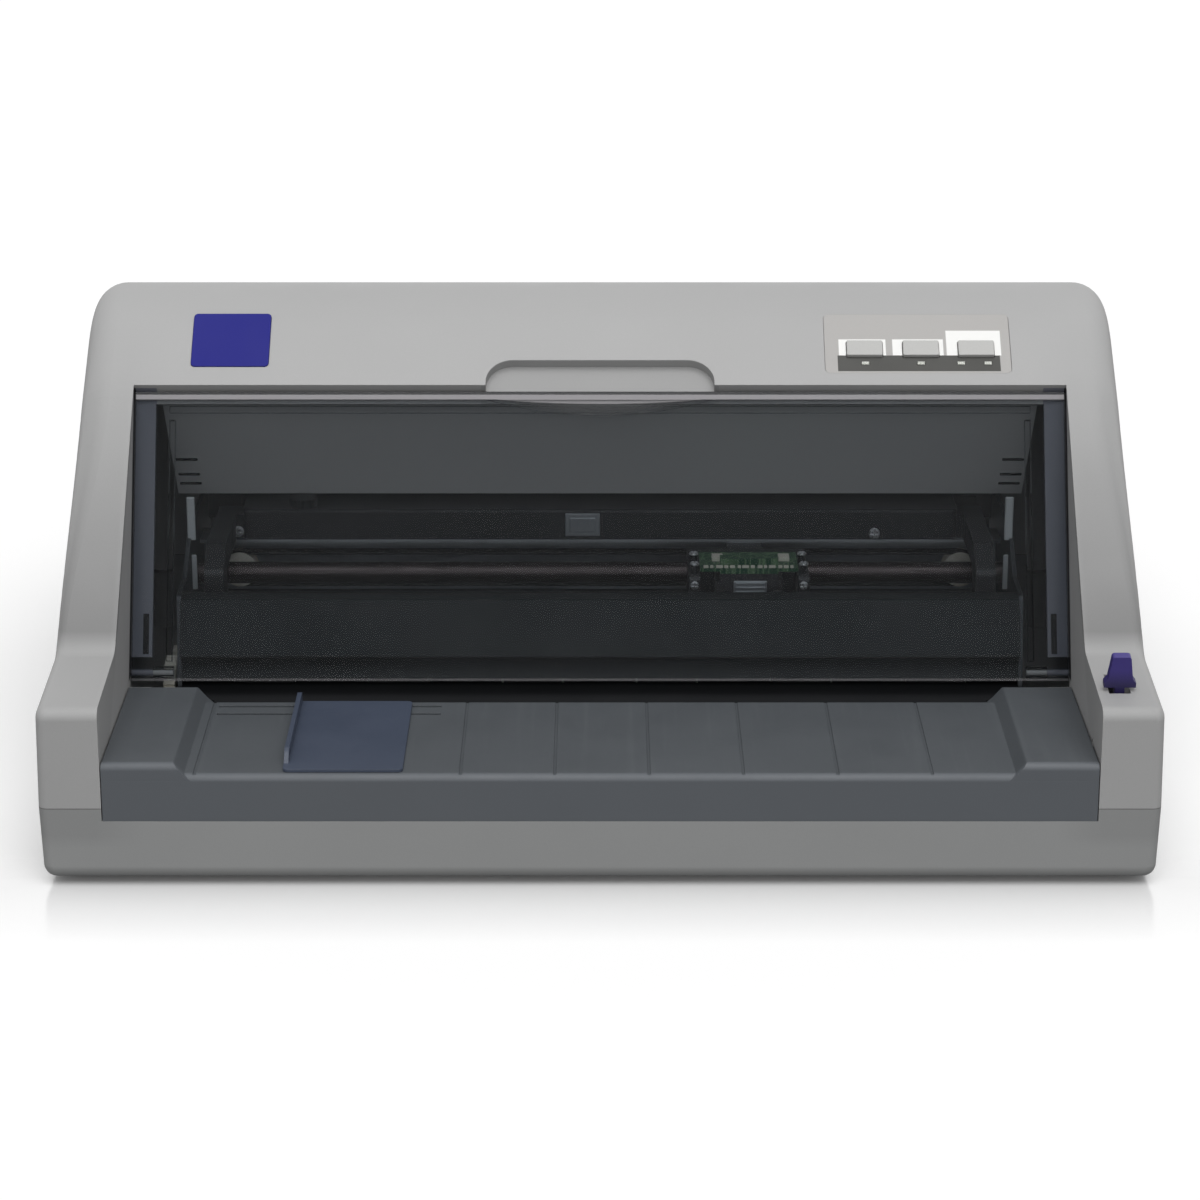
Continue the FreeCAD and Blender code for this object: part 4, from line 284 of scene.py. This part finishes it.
def smoked_finish():
    """Smoked clear cover: tinted see-through sheet, glossier at a flat angle, with a paler lip along its top
    as painted highlight that swells into the finger grip, painted shade as a dark crescent at the grip, and
    a faint pale line at its foot."""
    top_edge, lip_edge, grip_half = 0.1310, 0.1288, 0.046
    made = Finish("smoked_clear", srgb(46, 50, 54), roughness=0.12, level=0.45)
    made.set("Roughness", made.spread(made.noise(0.02, detail=5.0), 0.35, 0.7, 0.08, 0.16))
    made.bump(made.noise(0.05, detail=1.0), 0.0001)
    along = along_slope(made, window_foot, window_slope)[0]
    across = made.maths("DIVIDE", made.axis("X"), grip_half)
    bow = made.maths("MAXIMUM", made.maths("SUBTRACT", 1.0, made.product(across, across)), 0.0)
    top = made.spread(along, top_edge - 0.0001, top_edge + 0.0001, 0.0, 1.0)
    # Painted highlight: a pale lip along the top edge, swelling towards the middle; the same pale colour
    # marks the faint line at the foot.
    lip = made.maths("MULTIPLY_ADD", bow, 0.0018, along)
    lip = made.product(made.spread(lip, lip_edge - 0.0001, lip_edge + 0.0001, 0.0, 1.0),
                       made.maths("SUBTRACT", 1.0, top))
    # Painted shade: a dark crescent under the lip at the finger grip, less see-through there.
    grip = made.product(
        made.spread(made.maths("MULTIPLY_ADD", bow, 0.0085, along), lip_edge - 0.0004, 0.1340, 0.0, 0.5),
        made.spread(bow, 0.0, 0.2, 0.0, 1.0))
    foot = made.within(along, 0.0028, 0.0040)
    pale = made.maths("MAXIMUM", lip, foot)
    made.set("Base Color", made.blend(pale, srgb(42, 44, 47), srgb(150, 148, 151)))
    clear = made.tree.nodes.new("ShaderNodeBsdfTransparent")
    clear.inputs["Color"].default_value = (0.820, 0.835, 0.848, 1.0)
    weight = made.tree.nodes.new("ShaderNodeLayerWeight")
    weight.inputs["Blend"].default_value = 0.28
    solid = made.spread(weight.outputs["Fresnel"], 0.0, 1.0, 0.05, 0.8)
    for part in (made.product(lip, 0.85), made.product(top, 0.7), made.product(foot, 0.15), grip):
        solid = made.maths("MAXIMUM", solid, part)
    made.mix_out(solid, clear.outputs[0], made.shader.outputs[0])
    return made.material


def lever_finish():
    """Violet blue lever, with painted shade darkening it towards its foot."""
    made = moulded("violet_blue", srgb(62, 52, 124), grain=0.0006, roughness=0.42)
    # Painted shade at the lever's foot.
    low_shade = made.spread(made.axis("Z"), ledge_z - 0.0005, ledge_z + 0.0065, 0.75, 0.0)
    made.set("Base Color", made.blend(low_shade, made.colour_so_far(), srgb(34, 30, 58)))
    return made.material


def metal_finish(name, colour, roughness=0.32, along=(1.0, 1.0, 1.0), grain=0.0008):
    """Bright metal with fine drawing marks along one way."""
    made = Finish(name, colour, metallic=1.0, roughness=roughness)
    marks = made.noise(grain, detail=4.0, stretch=along)
    made.set("Roughness", made.spread(marks, 0.3, 0.7, roughness - 0.08, roughness + 0.12))
    shade = made.spread(made.noise(0.02, detail=4.0), 0.35, 0.7, 0.86, 1.0)
    made.set("Base Color", made.blend(1.0, colour, shade, "MULTIPLY"))
    made.soft_edges(0.0002)
    made.bump(marks, 0.00001)
    return made.material


def rubber_finish():
    """Dull black rubber with a little dust."""
    rubber = srgb(34, 34, 35)
    made = Finish("rubber", rubber, level=0.3)
    made.set("Roughness", made.spread(made.noise(0.004, detail=3.0), 0.3, 0.7, 0.72, 0.9))
    dust = made.spread(made.noise(0.006, detail=5.0), 0.55, 0.75, 0.0, 0.25)
    made.set("Base Color", made.blend(dust, rubber, srgb(84, 82, 78)))
    made.soft_edges(0.0003)
    made.bump(made.noise(0.0004, detail=2.0), 0.00003)
    return made.material


def board_finish():
    """Circuit board: green mask with copper runs and pads. What stands on it is dark moulding."""
    solder = srgb(24, 74, 44)
    made = Finish("board_green", solder, roughness=0.35)
    runs = made.cells(0.006, feature="DISTANCE_TO_EDGE", stretch=(1.0, 1.0, 0.0))
    lanes = made.maths("PINGPONG", made.axis("X"), 0.0012)
    tracks = made.maths("MAXIMUM", made.spread(runs, 0.0, 0.07, 1.0, 0.0),
                        made.spread(lanes, 0.0009, 0.001, 0.0, 0.4))
    green = made.blend(tracks, solder, scaled(solder, 1.9))
    pads = made.cells(0.0025, stretch=(1.0, 1.0, 0.0))
    green = made.blend(made.spread(pads, 0.12, 0.16, 0.8, 0.0), green, srgb(190, 186, 170))
    above = made.spread(made.axis("Z"), board_top_z + 0.00005, board_top_z + 0.00015, 0.0, 1.0)
    made.set("Base Color", made.blend(above, green, srgb(38, 38, 40)))
    made.set("Roughness", made.spread(made.noise(0.01, detail=3.0), 0.3, 0.7, 0.3, 0.5))
    made.soft_edges(0.0002)
    made.bump(tracks, 0.00004)
    return made.material


def roller_finish(name, depth, height, steel_radius, gear_end, sleeve):
    """One turning piece: steel shaft near its axis, sleeves round it and a moulded gear at the left end."""
    made = Finish(name, sleeve, level=0.35)
    across = made.maths("SUBTRACT", made.axis("Y"), depth)
    up = made.maths("SUBTRACT", made.axis("Z"), height)
    radius = made.maths("SQRT", made.maths("ADD", made.product(across, across), made.product(up, up)))
    at_gear = made.spread(made.axis("X"), gear_end - 0.0002, gear_end + 0.0002, 1.0, 0.0)
    at_shaft = made.product(made.spread(radius, steel_radius + 0.0002, steel_radius + 0.0004, 1.0, 0.0),
                            made.maths("SUBTRACT", 1.0, at_gear))
    marks = made.noise(0.0009, detail=3.0, stretch=(0.2, 1.0, 1.0))
    wear = made.blend(made.spread(marks, 0.45, 0.75, 0.0, 0.3), sleeve, scaled(sleeve, 1.8))
    steel = made.blend(made.spread(marks, 0.3, 0.7, 0.0, 1.0), srgb(176, 178, 180), srgb(206, 207, 208))
    made.set("Base Color", made.blend(at_gear, made.blend(at_shaft, wear, steel), srgb(212, 209, 198)))
    made.set("Metallic", at_shaft)
    made.set("Roughness", made.maths("SUBTRACT", made.spread(marks, 0.3, 0.7, 0.6, 0.75),
                                     made.product(at_shaft, 0.4)))
    made.bump(marks, 0.00002)
    return made.material


def panel_finish():
    """Key panel: housing grey field, pale key labels and one dark strip under them, all left bare."""
    made = moulded("panel_print", srgb(172, 170, 168), grain=0.0006, relief=0.00002, roughness=0.42,
                   mottle=0.02)
    x = made.axis("X")
    along = along_slope(made, band_foot, band_slope)[0]
    colour = made.colour_so_far()
    fields = [(label, srgb(240, 240, 238)) for label in panel_labels] + [(panel_strip, srgb(58, 58, 55))]
    for (left, right, low_s, high_s), tone in fields:
        field = made.product(made.within(x, left, right), made.within(along, low_s, high_s))
        colour = made.blend(field, colour, tone)
    made.set("Base Color", colour)
    return made.material


def head_finish():
    """Cast print head with a circuit board on top."""
    made = Finish("head_casting", srgb(58, 58, 60), roughness=0.45)
    above = made.spread(made.axis("Z"), head_board_z - 0.0001, head_board_z + 0.0001, 0.0, 1.0)
    grain = made.noise(0.0008, detail=3.0)
    cast = made.blend(made.spread(grain, 0.3, 0.7, 0.0, 1.0), srgb(48, 48, 50), srgb(72, 72, 74))
    runs = made.cells(0.004, feature="DISTANCE_TO_EDGE", stretch=(1.0, 1.0, 0.0))
    mask = made.blend(made.spread(runs, 0.0, 0.08, 1.0, 0.0), srgb(28, 70, 46), srgb(96, 128, 92))
    made.set("Base Color", made.blend(above, cast, mask))
    made.set("Metallic", made.product(made.maths("SUBTRACT", 1.0, above), 0.5))
    made.bump(grain, 0.00004)
    return made.material


def lens_finish():
    """Clear plastic lenses of the panel lights, with a fine facet pattern."""
    made = Finish("clear_lens", srgb(226, 228, 222), roughness=0.18, level=0.6)
    facets = made.cells(0.0006)
    made.set("Base Color", made.blend(made.spread(facets, 0.1, 0.6, 0.0, 1.0),
                                      srgb(246, 246, 240), srgb(196, 200, 190)))
    made.set("Transmission Weight", 0.25)
    made.bump(facets, 0.00005)
    return made.material


def white_gear_finish():
    """White moulded gears and pulleys with traces of grease."""
    made = moulded("acetal_white", srgb(214, 211, 200), grain=0.001, relief=0.00001, roughness=0.36,
                   mottle=0.02)
    grease = made.spread(made.noise(0.008, detail=4.0), 0.52, 0.7, 0.0, 0.35)
    colour = made.colour_so_far()
    made.set("Base Color", made.blend(grease, colour, srgb(168, 160, 138)))
    return made.material


def build_finishes():
    steel = srgb(196, 197, 198)
    sleeve = srgb(44, 44, 45)
    pinch_sleeve = srgb(60, 61, 62)
    table = {
        "case": case_finish("case_grey", srgb(171, 171, 171)),
        # The lower case takes the housing finish in a darker grey: painted shade.
        "base": case_finish("base_grey_shaded", srgb(146, 147, 147)),
        "table": table_finish(),
        "smoked": smoked_finish(),
        "shaft": metal_finish("ground_steel", steel, roughness=0.22, along=(0.05, 1.0, 1.0)),
        "oiled": metal_finish("oiled_shaft", srgb(66, 60, 60), roughness=0.4, along=(0.05, 1.0, 1.0)),
        "sheet": metal_finish("zinc_sheet", srgb(176, 180, 184), roughness=0.38, grain=0.0015),
        "can": metal_finish("motor_can", srgb(150, 152, 155), roughness=0.3, along=(0.1, 1.0, 1.0)),
        "rubber": rubber_finish(),
        "frame": metal_finish("side_sheet", srgb(84, 87, 90), roughness=0.55, grain=0.0015),
        "sheet_dark": metal_finish("dull_sheet", srgb(150, 154, 158), roughness=0.5, grain=0.0012),
        "bright": metal_finish("bright_screw", srgb(214, 216, 218), roughness=0.28, grain=0.0006),
        "gear": white_gear_finish(),
        "lever": lever_finish(),
        "board": board_finish(),
        "print": panel_finish(),
        "head": head_finish(),
        "lens": lens_finish(),
    }
    mouldings = (
        ("lip", "frame_lip", srgb(196, 200, 202), dict(grain=0.0008, roughness=0.5)),
        ("cream", "cream_parts", srgb(206, 204, 190), dict(grain=0.0008, roughness=0.45)),
        ("ribbon", "ink_ribbon", srgb(22, 22, 26), dict(grain=0.0003, relief=0.00003, roughness=0.8)),
        ("black", "black_moulding", srgb(40, 41, 43), dict(grain=0.0006, roughness=0.5)),
        ("dark", "dark_moulding", srgb(62, 66, 70), dict(grain=0.0006, roughness=0.52)),
        ("deep", "deep_grey", srgb(30, 34, 36), dict(grain=0.0006, roughness=0.6, level=0.25)),
        ("slot", "slot_black", srgb(20, 21, 23), dict(grain=0.0006, roughness=0.65, level=0.2)),
        ("slider", "blue_grey", srgb(62, 70, 86), dict(grain=0.0005, roughness=0.45)),
        ("badge", "badge_blue", srgb(30, 32, 124), dict(grain=0.0008, relief=0.00001, level=0.2)),
        ("key", "key_grey", srgb(184, 184, 182), dict(grain=0.0006, relief=0.00002, roughness=0.45)),
        ("panel_board", "phenolic", srgb(120, 92, 52), dict(grain=0.002, roughness=0.5)),
    )
    for key, name, colour, options in mouldings:
        table[key] = moulded(name, colour, **options).material
    turning = (
        ("front_roller", front_feed_y, feed_z, 0.003, gear_edge, sleeve),
        ("rear_roller", rear_feed_y, feed_z, 0.003, gear_edge, sleeve),
        ("front_pinch", front_feed_y, pinch_z, 0.0015, no_gear, pinch_sleeve),
        ("rear_pinch", rear_feed_y, pinch_z, 0.0015, no_gear, pinch_sleeve),
        ("square_shaft", tractor_shaft_y, feed_z, 0.006, gear_edge, sleeve),
    )
    for key, depth, height, steel_radius, gear_end, colour in turning:
        table[key] = roller_finish(key, depth, height, steel_radius, gear_end, colour)
    return table


finish = build_finishes()
uses = {
    "case": ("upper_case", "rear_cover"),
    "base": ("lower_case",),
    "table": ("paper_table",),
    "smoked": ("printer_cover",),
    "slider": ("edge_guide",),
    "lever": ("release_lever",),
    "badge": ("badge_plate",),
    "print": ("panel_plate",),
    "lens": ("panel_lights",),
    "head": ("print_head",),
    "front_roller": ("front_feed_roller",),
    "rear_roller": ("rear_feed_roller",),
    "front_pinch": ("front_pinch_rollers",),
    "rear_pinch": ("rear_pinch_rollers",),
    "square_shaft": ("tractor_drive_shaft",),
    "key": ("button_left", "button_middle", "button_right"),
    "shaft": ("tractor_guide_shaft", "case_screws"),
    "oiled": ("guide_shaft",),
    "frame": ("side_frame_left", "side_frame_right"),
    "sheet": ("rear_frame", "platen_bar", "ribbon_mask"),
    "can": ("feed_motor", "carriage_motor"),
    "rubber": ("rubber_feet", "timing_belt"),
    "black": ("carriage_body", "ribbon_cartridge", "ribbon_knob", "power_rocker", "power_switch_body",
              "ac_inlet", "parallel_connector", "usb_connector", "roller_bushes", "sprocket_left",
              "sprocket_right"),
    "deep": ("front_paper_guide",),
    "slot": ("lower_paper_guide",),
    "dark": ("upper_paper_guide", "paper_support", "tractor_left", "tractor_right", "tractor_lid_left",
             "tractor_lid_right"),
    "gear": ("idler_gear", "transfer_gear_front", "transfer_gear_middle", "transfer_gear_rear",
             "motor_pinion", "drive_pulley", "idler_pulley"),
    "board": ("main_board", "power_supply"),
    "panel_board": ("panel_board",),
}


def dress(names, material):
    for name in names:
        mesh = nodes[name].data
        mesh.materials.clear()
        mesh.materials.append(material)


for key, names in uses.items():
    dress(names, finish[key])


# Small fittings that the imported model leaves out

def add_piece(name, shape, material, body):
    """Makes an object from a bmesh and lets it ride on one of the model's bodies."""
    mesh = bpy.data.meshes.new(name)
    shape.to_mesh(mesh)
    shape.free()
    mesh.materials.append(material)
    piece = bpy.data.objects.new(name, mesh)
    bpy.context.scene.collection.objects.link(piece)
    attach(piece, body)


def round_edges(shape, corners, radius):
    edges = list({edge for vertex in corners for edge in vertex.link_edges})
    bmesh.ops.bevel(shape, geom=edges, offset=radius, segments=2, affect="EDGES", profile=0.5)


def block_into(shape, low_corner, high_corner, radius=0.0003):
    """Adds a box with rounded edges."""
    made = bmesh.ops.create_cube(shape, size=1.0)
    size = [high - low for low, high in zip(low_corner, high_corner)]
    middle = [(high + low) / 2 for low, high in zip(low_corner, high_corner)]
    for vertex in made["verts"]:
        vertex.co = [place * length + centre for place, length, centre in zip(vertex.co, size, middle)]
    round_edges(shape, made["verts"], min(radius, min(size) * 0.4))


def bridge_rings(shape, rings):
    """Joins closed rings of corners, one after the other."""
    for first, second in zip(rings, rings[1:]):
        for step in range(len(first)):
            after = (step + 1) % len(first)
            shape.faces.new((first[step], first[after], second[after], second[step]))


def turn_to(axis):
    """The turn that brings Z onto an axis."""
    return Vector((0, 0, 1)).rotation_difference(Vector(axis)).to_matrix()


def disc_into(shape, centre, axis, radius, length):
    """Adds a short round piece with a chamfered far rim, standing on centre along axis."""
    sides = 24
    rim = length * 0.25
    turn = turn_to(axis)
    angles = [2 * math.pi * step / sides for step in range(sides)]
    rings = []
    for reach, height in ((radius, 0.0), (radius, length - rim), (radius - rim, length)):
        places = [Vector((reach * math.cos(angle), reach * math.sin(angle), height)) for angle in angles]
        rings.append([shape.verts.new(Vector(centre) + turn @ place) for place in places])
    bridge_rings(shape, rings)
    shape.faces.new(rings[-1])
    shape.faces.new(list(reversed(rings[0])))


def screw_into(shape, centre, axis, radius, height):
    """Adds a pan head with a cross slot left open between four raised quarters."""
    disc_into(shape, centre, axis, radius, height * 0.6)
    turn = turn_to(axis)
    gap = radius * 0.14
    corners = [(gap, gap), (radius * 0.8, gap), (radius * 0.58, radius * 0.58), (gap, radius * 0.8)]
    for across in (-1, 1):
        for along in (-1, 1):
            rings = []
            for level, shrink in ((height * 0.55, 1.0), (height, 0.86)):
                ring = []
                for first, second in corners:
                    place = (across * max(first * shrink, gap), along * max(second * shrink, gap), level)
                    ring.append(shape.verts.new(Vector(centre) + turn @ Vector(place)))
                rings.append(ring)
            bridge_rings(shape, rings)
            shape.faces.new(rings[-1])
    bmesh.ops.recalc_face_normals(shape, faces=shape.faces[:])


def sloped_bar_into(shape, foot, angle, left, right, low_s, high_s, low_n, high_n):
    """Adds a bar given in a sloping plane's own places: along s, off the plane n."""
    rise, fall = math.sin(angle), math.cos(angle)
    made = bmesh.ops.create_cube(shape, size=1.0)
    for vertex in made["verts"]:
        s = (low_s + high_s) / 2 + vertex.co.y * (high_s - low_s)
        n = (low_n + high_n) / 2 + vertex.co.z * (high_n - low_n)
        x = (left + right) / 2 + vertex.co.x * (right - left)
        vertex.co = (x, foot[0] + s * fall - n * rise, foot[1] + s * rise + n * fall)
    round_edges(shape, made["verts"], min(right - left, high_s - low_s, high_n - low_n) * 0.3)


def add_frame_lips():
    """Bent front lips of the side frames, in two lengths."""
    shape = bmesh.new()
    for side in (-1, 1):
        left, right = sorted((side * 0.1838, side * 0.1876))
        for low_z, high_z in ((0.0760, 0.0925), (0.0995, 0.1200)):
            block_into(shape, (left, -0.0086, low_z), (right, -0.0070, high_z), 0.0006)
    add_piece("frame_lips", shape, finish["lip"], "casing")


def add_frame_tabs():
    """Tabs bent in from the side frames behind the cartridge's ends."""
    shape = bmesh.new()
    for side in (-1, 1):
        left, right = sorted((side * 0.1630, side * 0.1862))
        block_into(shape, (left, 0.0642, 0.0880), (right, 0.0650, 0.1015), 0.0002)
        left, right = side * 0.1745 - 0.0040, side * 0.1745 + 0.0040
        block_into(shape, (left, 0.0636, 0.0910), (right, 0.0644, 0.0985), 0.0003)
    add_piece("frame_tabs", shape, finish["black"], "casing")


def add_hood_ribs():
    """Three short ribs under each end of the hood, black as painted shade for the shadow lines of slots."""
    shape = bmesh.new()
    for side in (-1, 1):
        left, right = sorted((side * 0.1853, side * 0.1955))
        for s in (0.0635, 0.0755, 0.0830):
            sloped_bar_into(shape, hood_foot, hood_slope, left, right, s - 0.0008, s + 0.0008,
                            -0.0006, 0.0009)
    add_piece("hood_ribs", shape, finish["black"], "casing")


def add_gap_shade_strips():
    """Thin dark strips at the foot of the frame behind the cover, in the rubber finish: painted shade of the
    gap there.
    """
    shape = bmesh.new()
    for side in (-1, 1):
        left, right = sorted((side * 0.1996, side * 0.2022))
        sloped_bar_into(shape, window_foot, window_slope, left, right, 0.0150, 0.0330, -0.0031, -0.0028)
    add_piece("gap_shade_strips", shape, finish["rubber"], "casing")


def add_head_parts():
    """What stands on the print head's board, its front plate and the screws of its two side arms."""
    shape = bmesh.new()
    row_half, lengths, gaps = 0.0205, (0.0022, 0.0014, 0.0030, 0.0018), (0.0008, 0.0013, 0.0006)
    x = carriage_x - row_half
    number = 0
    while x < carriage_x + row_half:
        length = lengths[number % 4]
        block_into(shape, (x, -0.0328, head_caps_z), (x + length, -0.0312, head_caps_z + 0.0011), 0.0002)
        x += length + gaps[number % 3]
        number += 1
    for offset in (-0.0165, 0.0135):
        left = carriage_x + offset
        block_into(shape, (left, -0.0230, head_caps_z), (left + 0.0050, -0.0170, head_caps_z + 0.0021),
                   0.0003)
    add_piece("head_board_caps", shape, finish["cream"], "carriage")
    shape = bmesh.new()
    left, right = carriage_x - 0.0070, carriage_x + 0.0080
    block_into(shape, (left, -0.0338, 0.0796), (right, -0.0329, 0.0884), 0.0004)
    for step in range(4):
        z = 0.0808 + step * 0.0020
        block_into(shape, (left + 0.0010, -0.0343, z), (right - 0.0010, -0.0336, z + 0.0009), 0.0002)
    add_piece("head_front_plate", shape, finish["sheet_dark"], "carriage")
    shape = bmesh.new()
    for side in (-1, 1):
        x = carriage_x + side * 0.0245
        screw_into(shape, (x, -0.0300, 0.0950), (0, 0, 1), 0.0021, 0.0012)
        screw_into(shape, (x, -0.0150, 0.0950), (0, 0, 1), 0.0021, 0.0012)
        screw_into(shape, (x, -0.0350, 0.0868), (0, -1, 0), 0.0019, 0.0011)
    add_piece("carriage_screws", shape, finish["bright"], "carriage")


def add_cartridge_parts():
    """The window and two screws on the cartridge's front wall, and the ink ribbon that hangs below it."""
    shape = bmesh.new()
    block_into(shape, (-0.0162, 0.0243, 0.0912), (0.0, 0.0252, 0.1022), 0.0006)
    block_into(shape, (-0.0140, 0.0238, 0.0932), (-0.0022, 0.0246, 0.1002), 0.0004)
    add_piece("cartridge_window", shape, finish["sheet_dark"], "casing")
    shape = bmesh.new()
    for x, z in ((0.1274, 0.0925), (-0.1679, 0.0935)):
        screw_into(shape, (x, 0.0250, z), (0, -1, 0), 0.0026, 0.0013)
    add_piece("cartridge_screws", shape, finish["bright"], "casing")
    shape = bmesh.new()
    front, back, thickness = -0.0305, -0.0195, 0.00012
    drop = ((0.1440, 0.0513), (0.1520, 0.0515), (0.1640, 0.0545), (0.1700, 0.0585))
    rings = []
    for x, z in [(-x, z) for x, z in reversed(drop)] + list(drop):
        section = ((front, z), (back, z), (back, z + thickness), (front, z + thickness))
        rings.append([shape.verts.new((x, y, level)) for y, level in section])
    bridge_rings(shape, rings)
    shape.faces.new(rings[0])
    shape.faces.new(list(reversed(rings[-1])))
    bmesh.ops.recalc_face_normals(shape, faces=shape.faces[:])
    add_piece("ink_ribbon", shape, finish["ribbon"], "casing")


add_frame_lips()
add_frame_tabs()
add_hood_ribs()
add_gap_shade_strips()
add_head_parts()
add_cartridge_parts()


# Studio: white floor and surroundings, a broad soft key light from above and a weaker one from the front

floor_half = 14.0
mirror_share = 0.34
surround_level = 0.42
# Name, turn, strength and angle of each lamp
lamps = (
    ("key", (0.44, 0.08, 0.0), 1.75, 0.9),
    ("front", (1.22, 0.0, 0.0), 0.40, 0.6),
)
camera_place = (0.0, -1.5387, 0.5830)
camera_aim = (0.0, 0.9483, -0.3173)
camera_lens = 105.82


def square_plane(name, half, z):
    mesh = bpy.data.meshes.new(name)
    corners = [(-half, -half, z), (half, -half, z), (half, half, z), (-half, half, z)]
    mesh.from_pydata(corners, [], [(0, 1, 2, 3)])
    plane = bpy.data.objects.new(name, mesh)
    bpy.context.scene.collection.objects.link(plane)
    return plane


def rays(tree, names):
    """1 for the named kinds of ray, 0 for the others."""
    path = tree.nodes.new("ShaderNodeLightPath")
    result = path.outputs[names[0]]
    for name in names[1:]:
        node = tree.nodes.new("ShaderNodeMath")
        node.operation = "MAXIMUM"
        tree.links.new(result, node.inputs[0])
        tree.links.new(path.outputs[name], node.inputs[1])
        result = node.outputs[0]
    return result


def floor_finish():
    """White floor with a short faint mirror image at the front foot. It throws back little light."""
    made = Finish("floor_paint", white, roughness=0.6, level=0.0)
    seen = rays(made.tree, ("Is Camera Ray",))
    made.set("Base Color", made.blend(seen, (0.30, 0.30, 0.30, 1.0), white))
    made.set("Emission Color", white)
    made.set("Emission Strength", made.product(seen, 0.06))
    made.bump(made.noise(0.004, detail=3.0), 0.00002)
    mirror = made.tree.nodes.new("ShaderNodeBsdfGlossy")
    mirror.inputs["Roughness"].default_value = 0.16
    depth = made.axis("Y")
    rise = made.spread(depth, -0.232, -0.176, 0.0, mirror_share)
    fall = made.spread(depth, -0.165, -0.140, 1.0, 0.0)
    made.mix_out(made.product(rise, fall, seen), made.shader.outputs[0], mirror.outputs[0])
    return made.material


def make_floor():
    floor = square_plane("floor", floor_half, 0.0)
    floor.data.materials.append(floor_finish())


def make_surroundings():
    """White to the camera and in mirrors, dimmer as a light."""
    world = bpy.data.worlds.new("studio")
    bpy.context.scene.world = world
    world.use_nodes = True
    tree = world.node_tree
    background = tree.nodes["Background"]
    level = tree.nodes.new("ShaderNodeMapRange")
    level.inputs["To Min"].default_value = surround_level
    level.inputs["To Max"].default_value = 1.0
    seen = rays(tree, ("Is Camera Ray", "Is Glossy Ray", "Is Transmission Ray"))
    tree.links.new(seen, level.inputs["Value"])
    tree.links.new(level.outputs[0], background.inputs["Strength"])
    background.inputs["Color"].default_value = white


def make_lamps():
    for name, turn, strength, angle in lamps:
        lamp = bpy.data.lights.new(name, "SUN")
        lamp.energy = strength
        lamp.angle = angle
        holder = bpy.data.objects.new(name, lamp)
        holder.rotation_euler = turn
        bpy.context.scene.collection.objects.link(holder)


def make_camera():
    data = bpy.data.cameras.new("camera")
    data.sensor_width = 36.0
    data.lens = camera_lens
    data.clip_end = 60.0
    camera = bpy.data.objects.new("camera", data)
    camera.location = camera_place
    camera.rotation_euler = Vector(camera_aim).to_track_quat("-Z", "Y").to_euler()
    bpy.context.scene.collection.objects.link(camera)
    bpy.context.scene.camera = camera


make_floor()
make_surroundings()
make_lamps()
make_camera()
bpy.context.scene.view_settings.view_transform = "Standard"
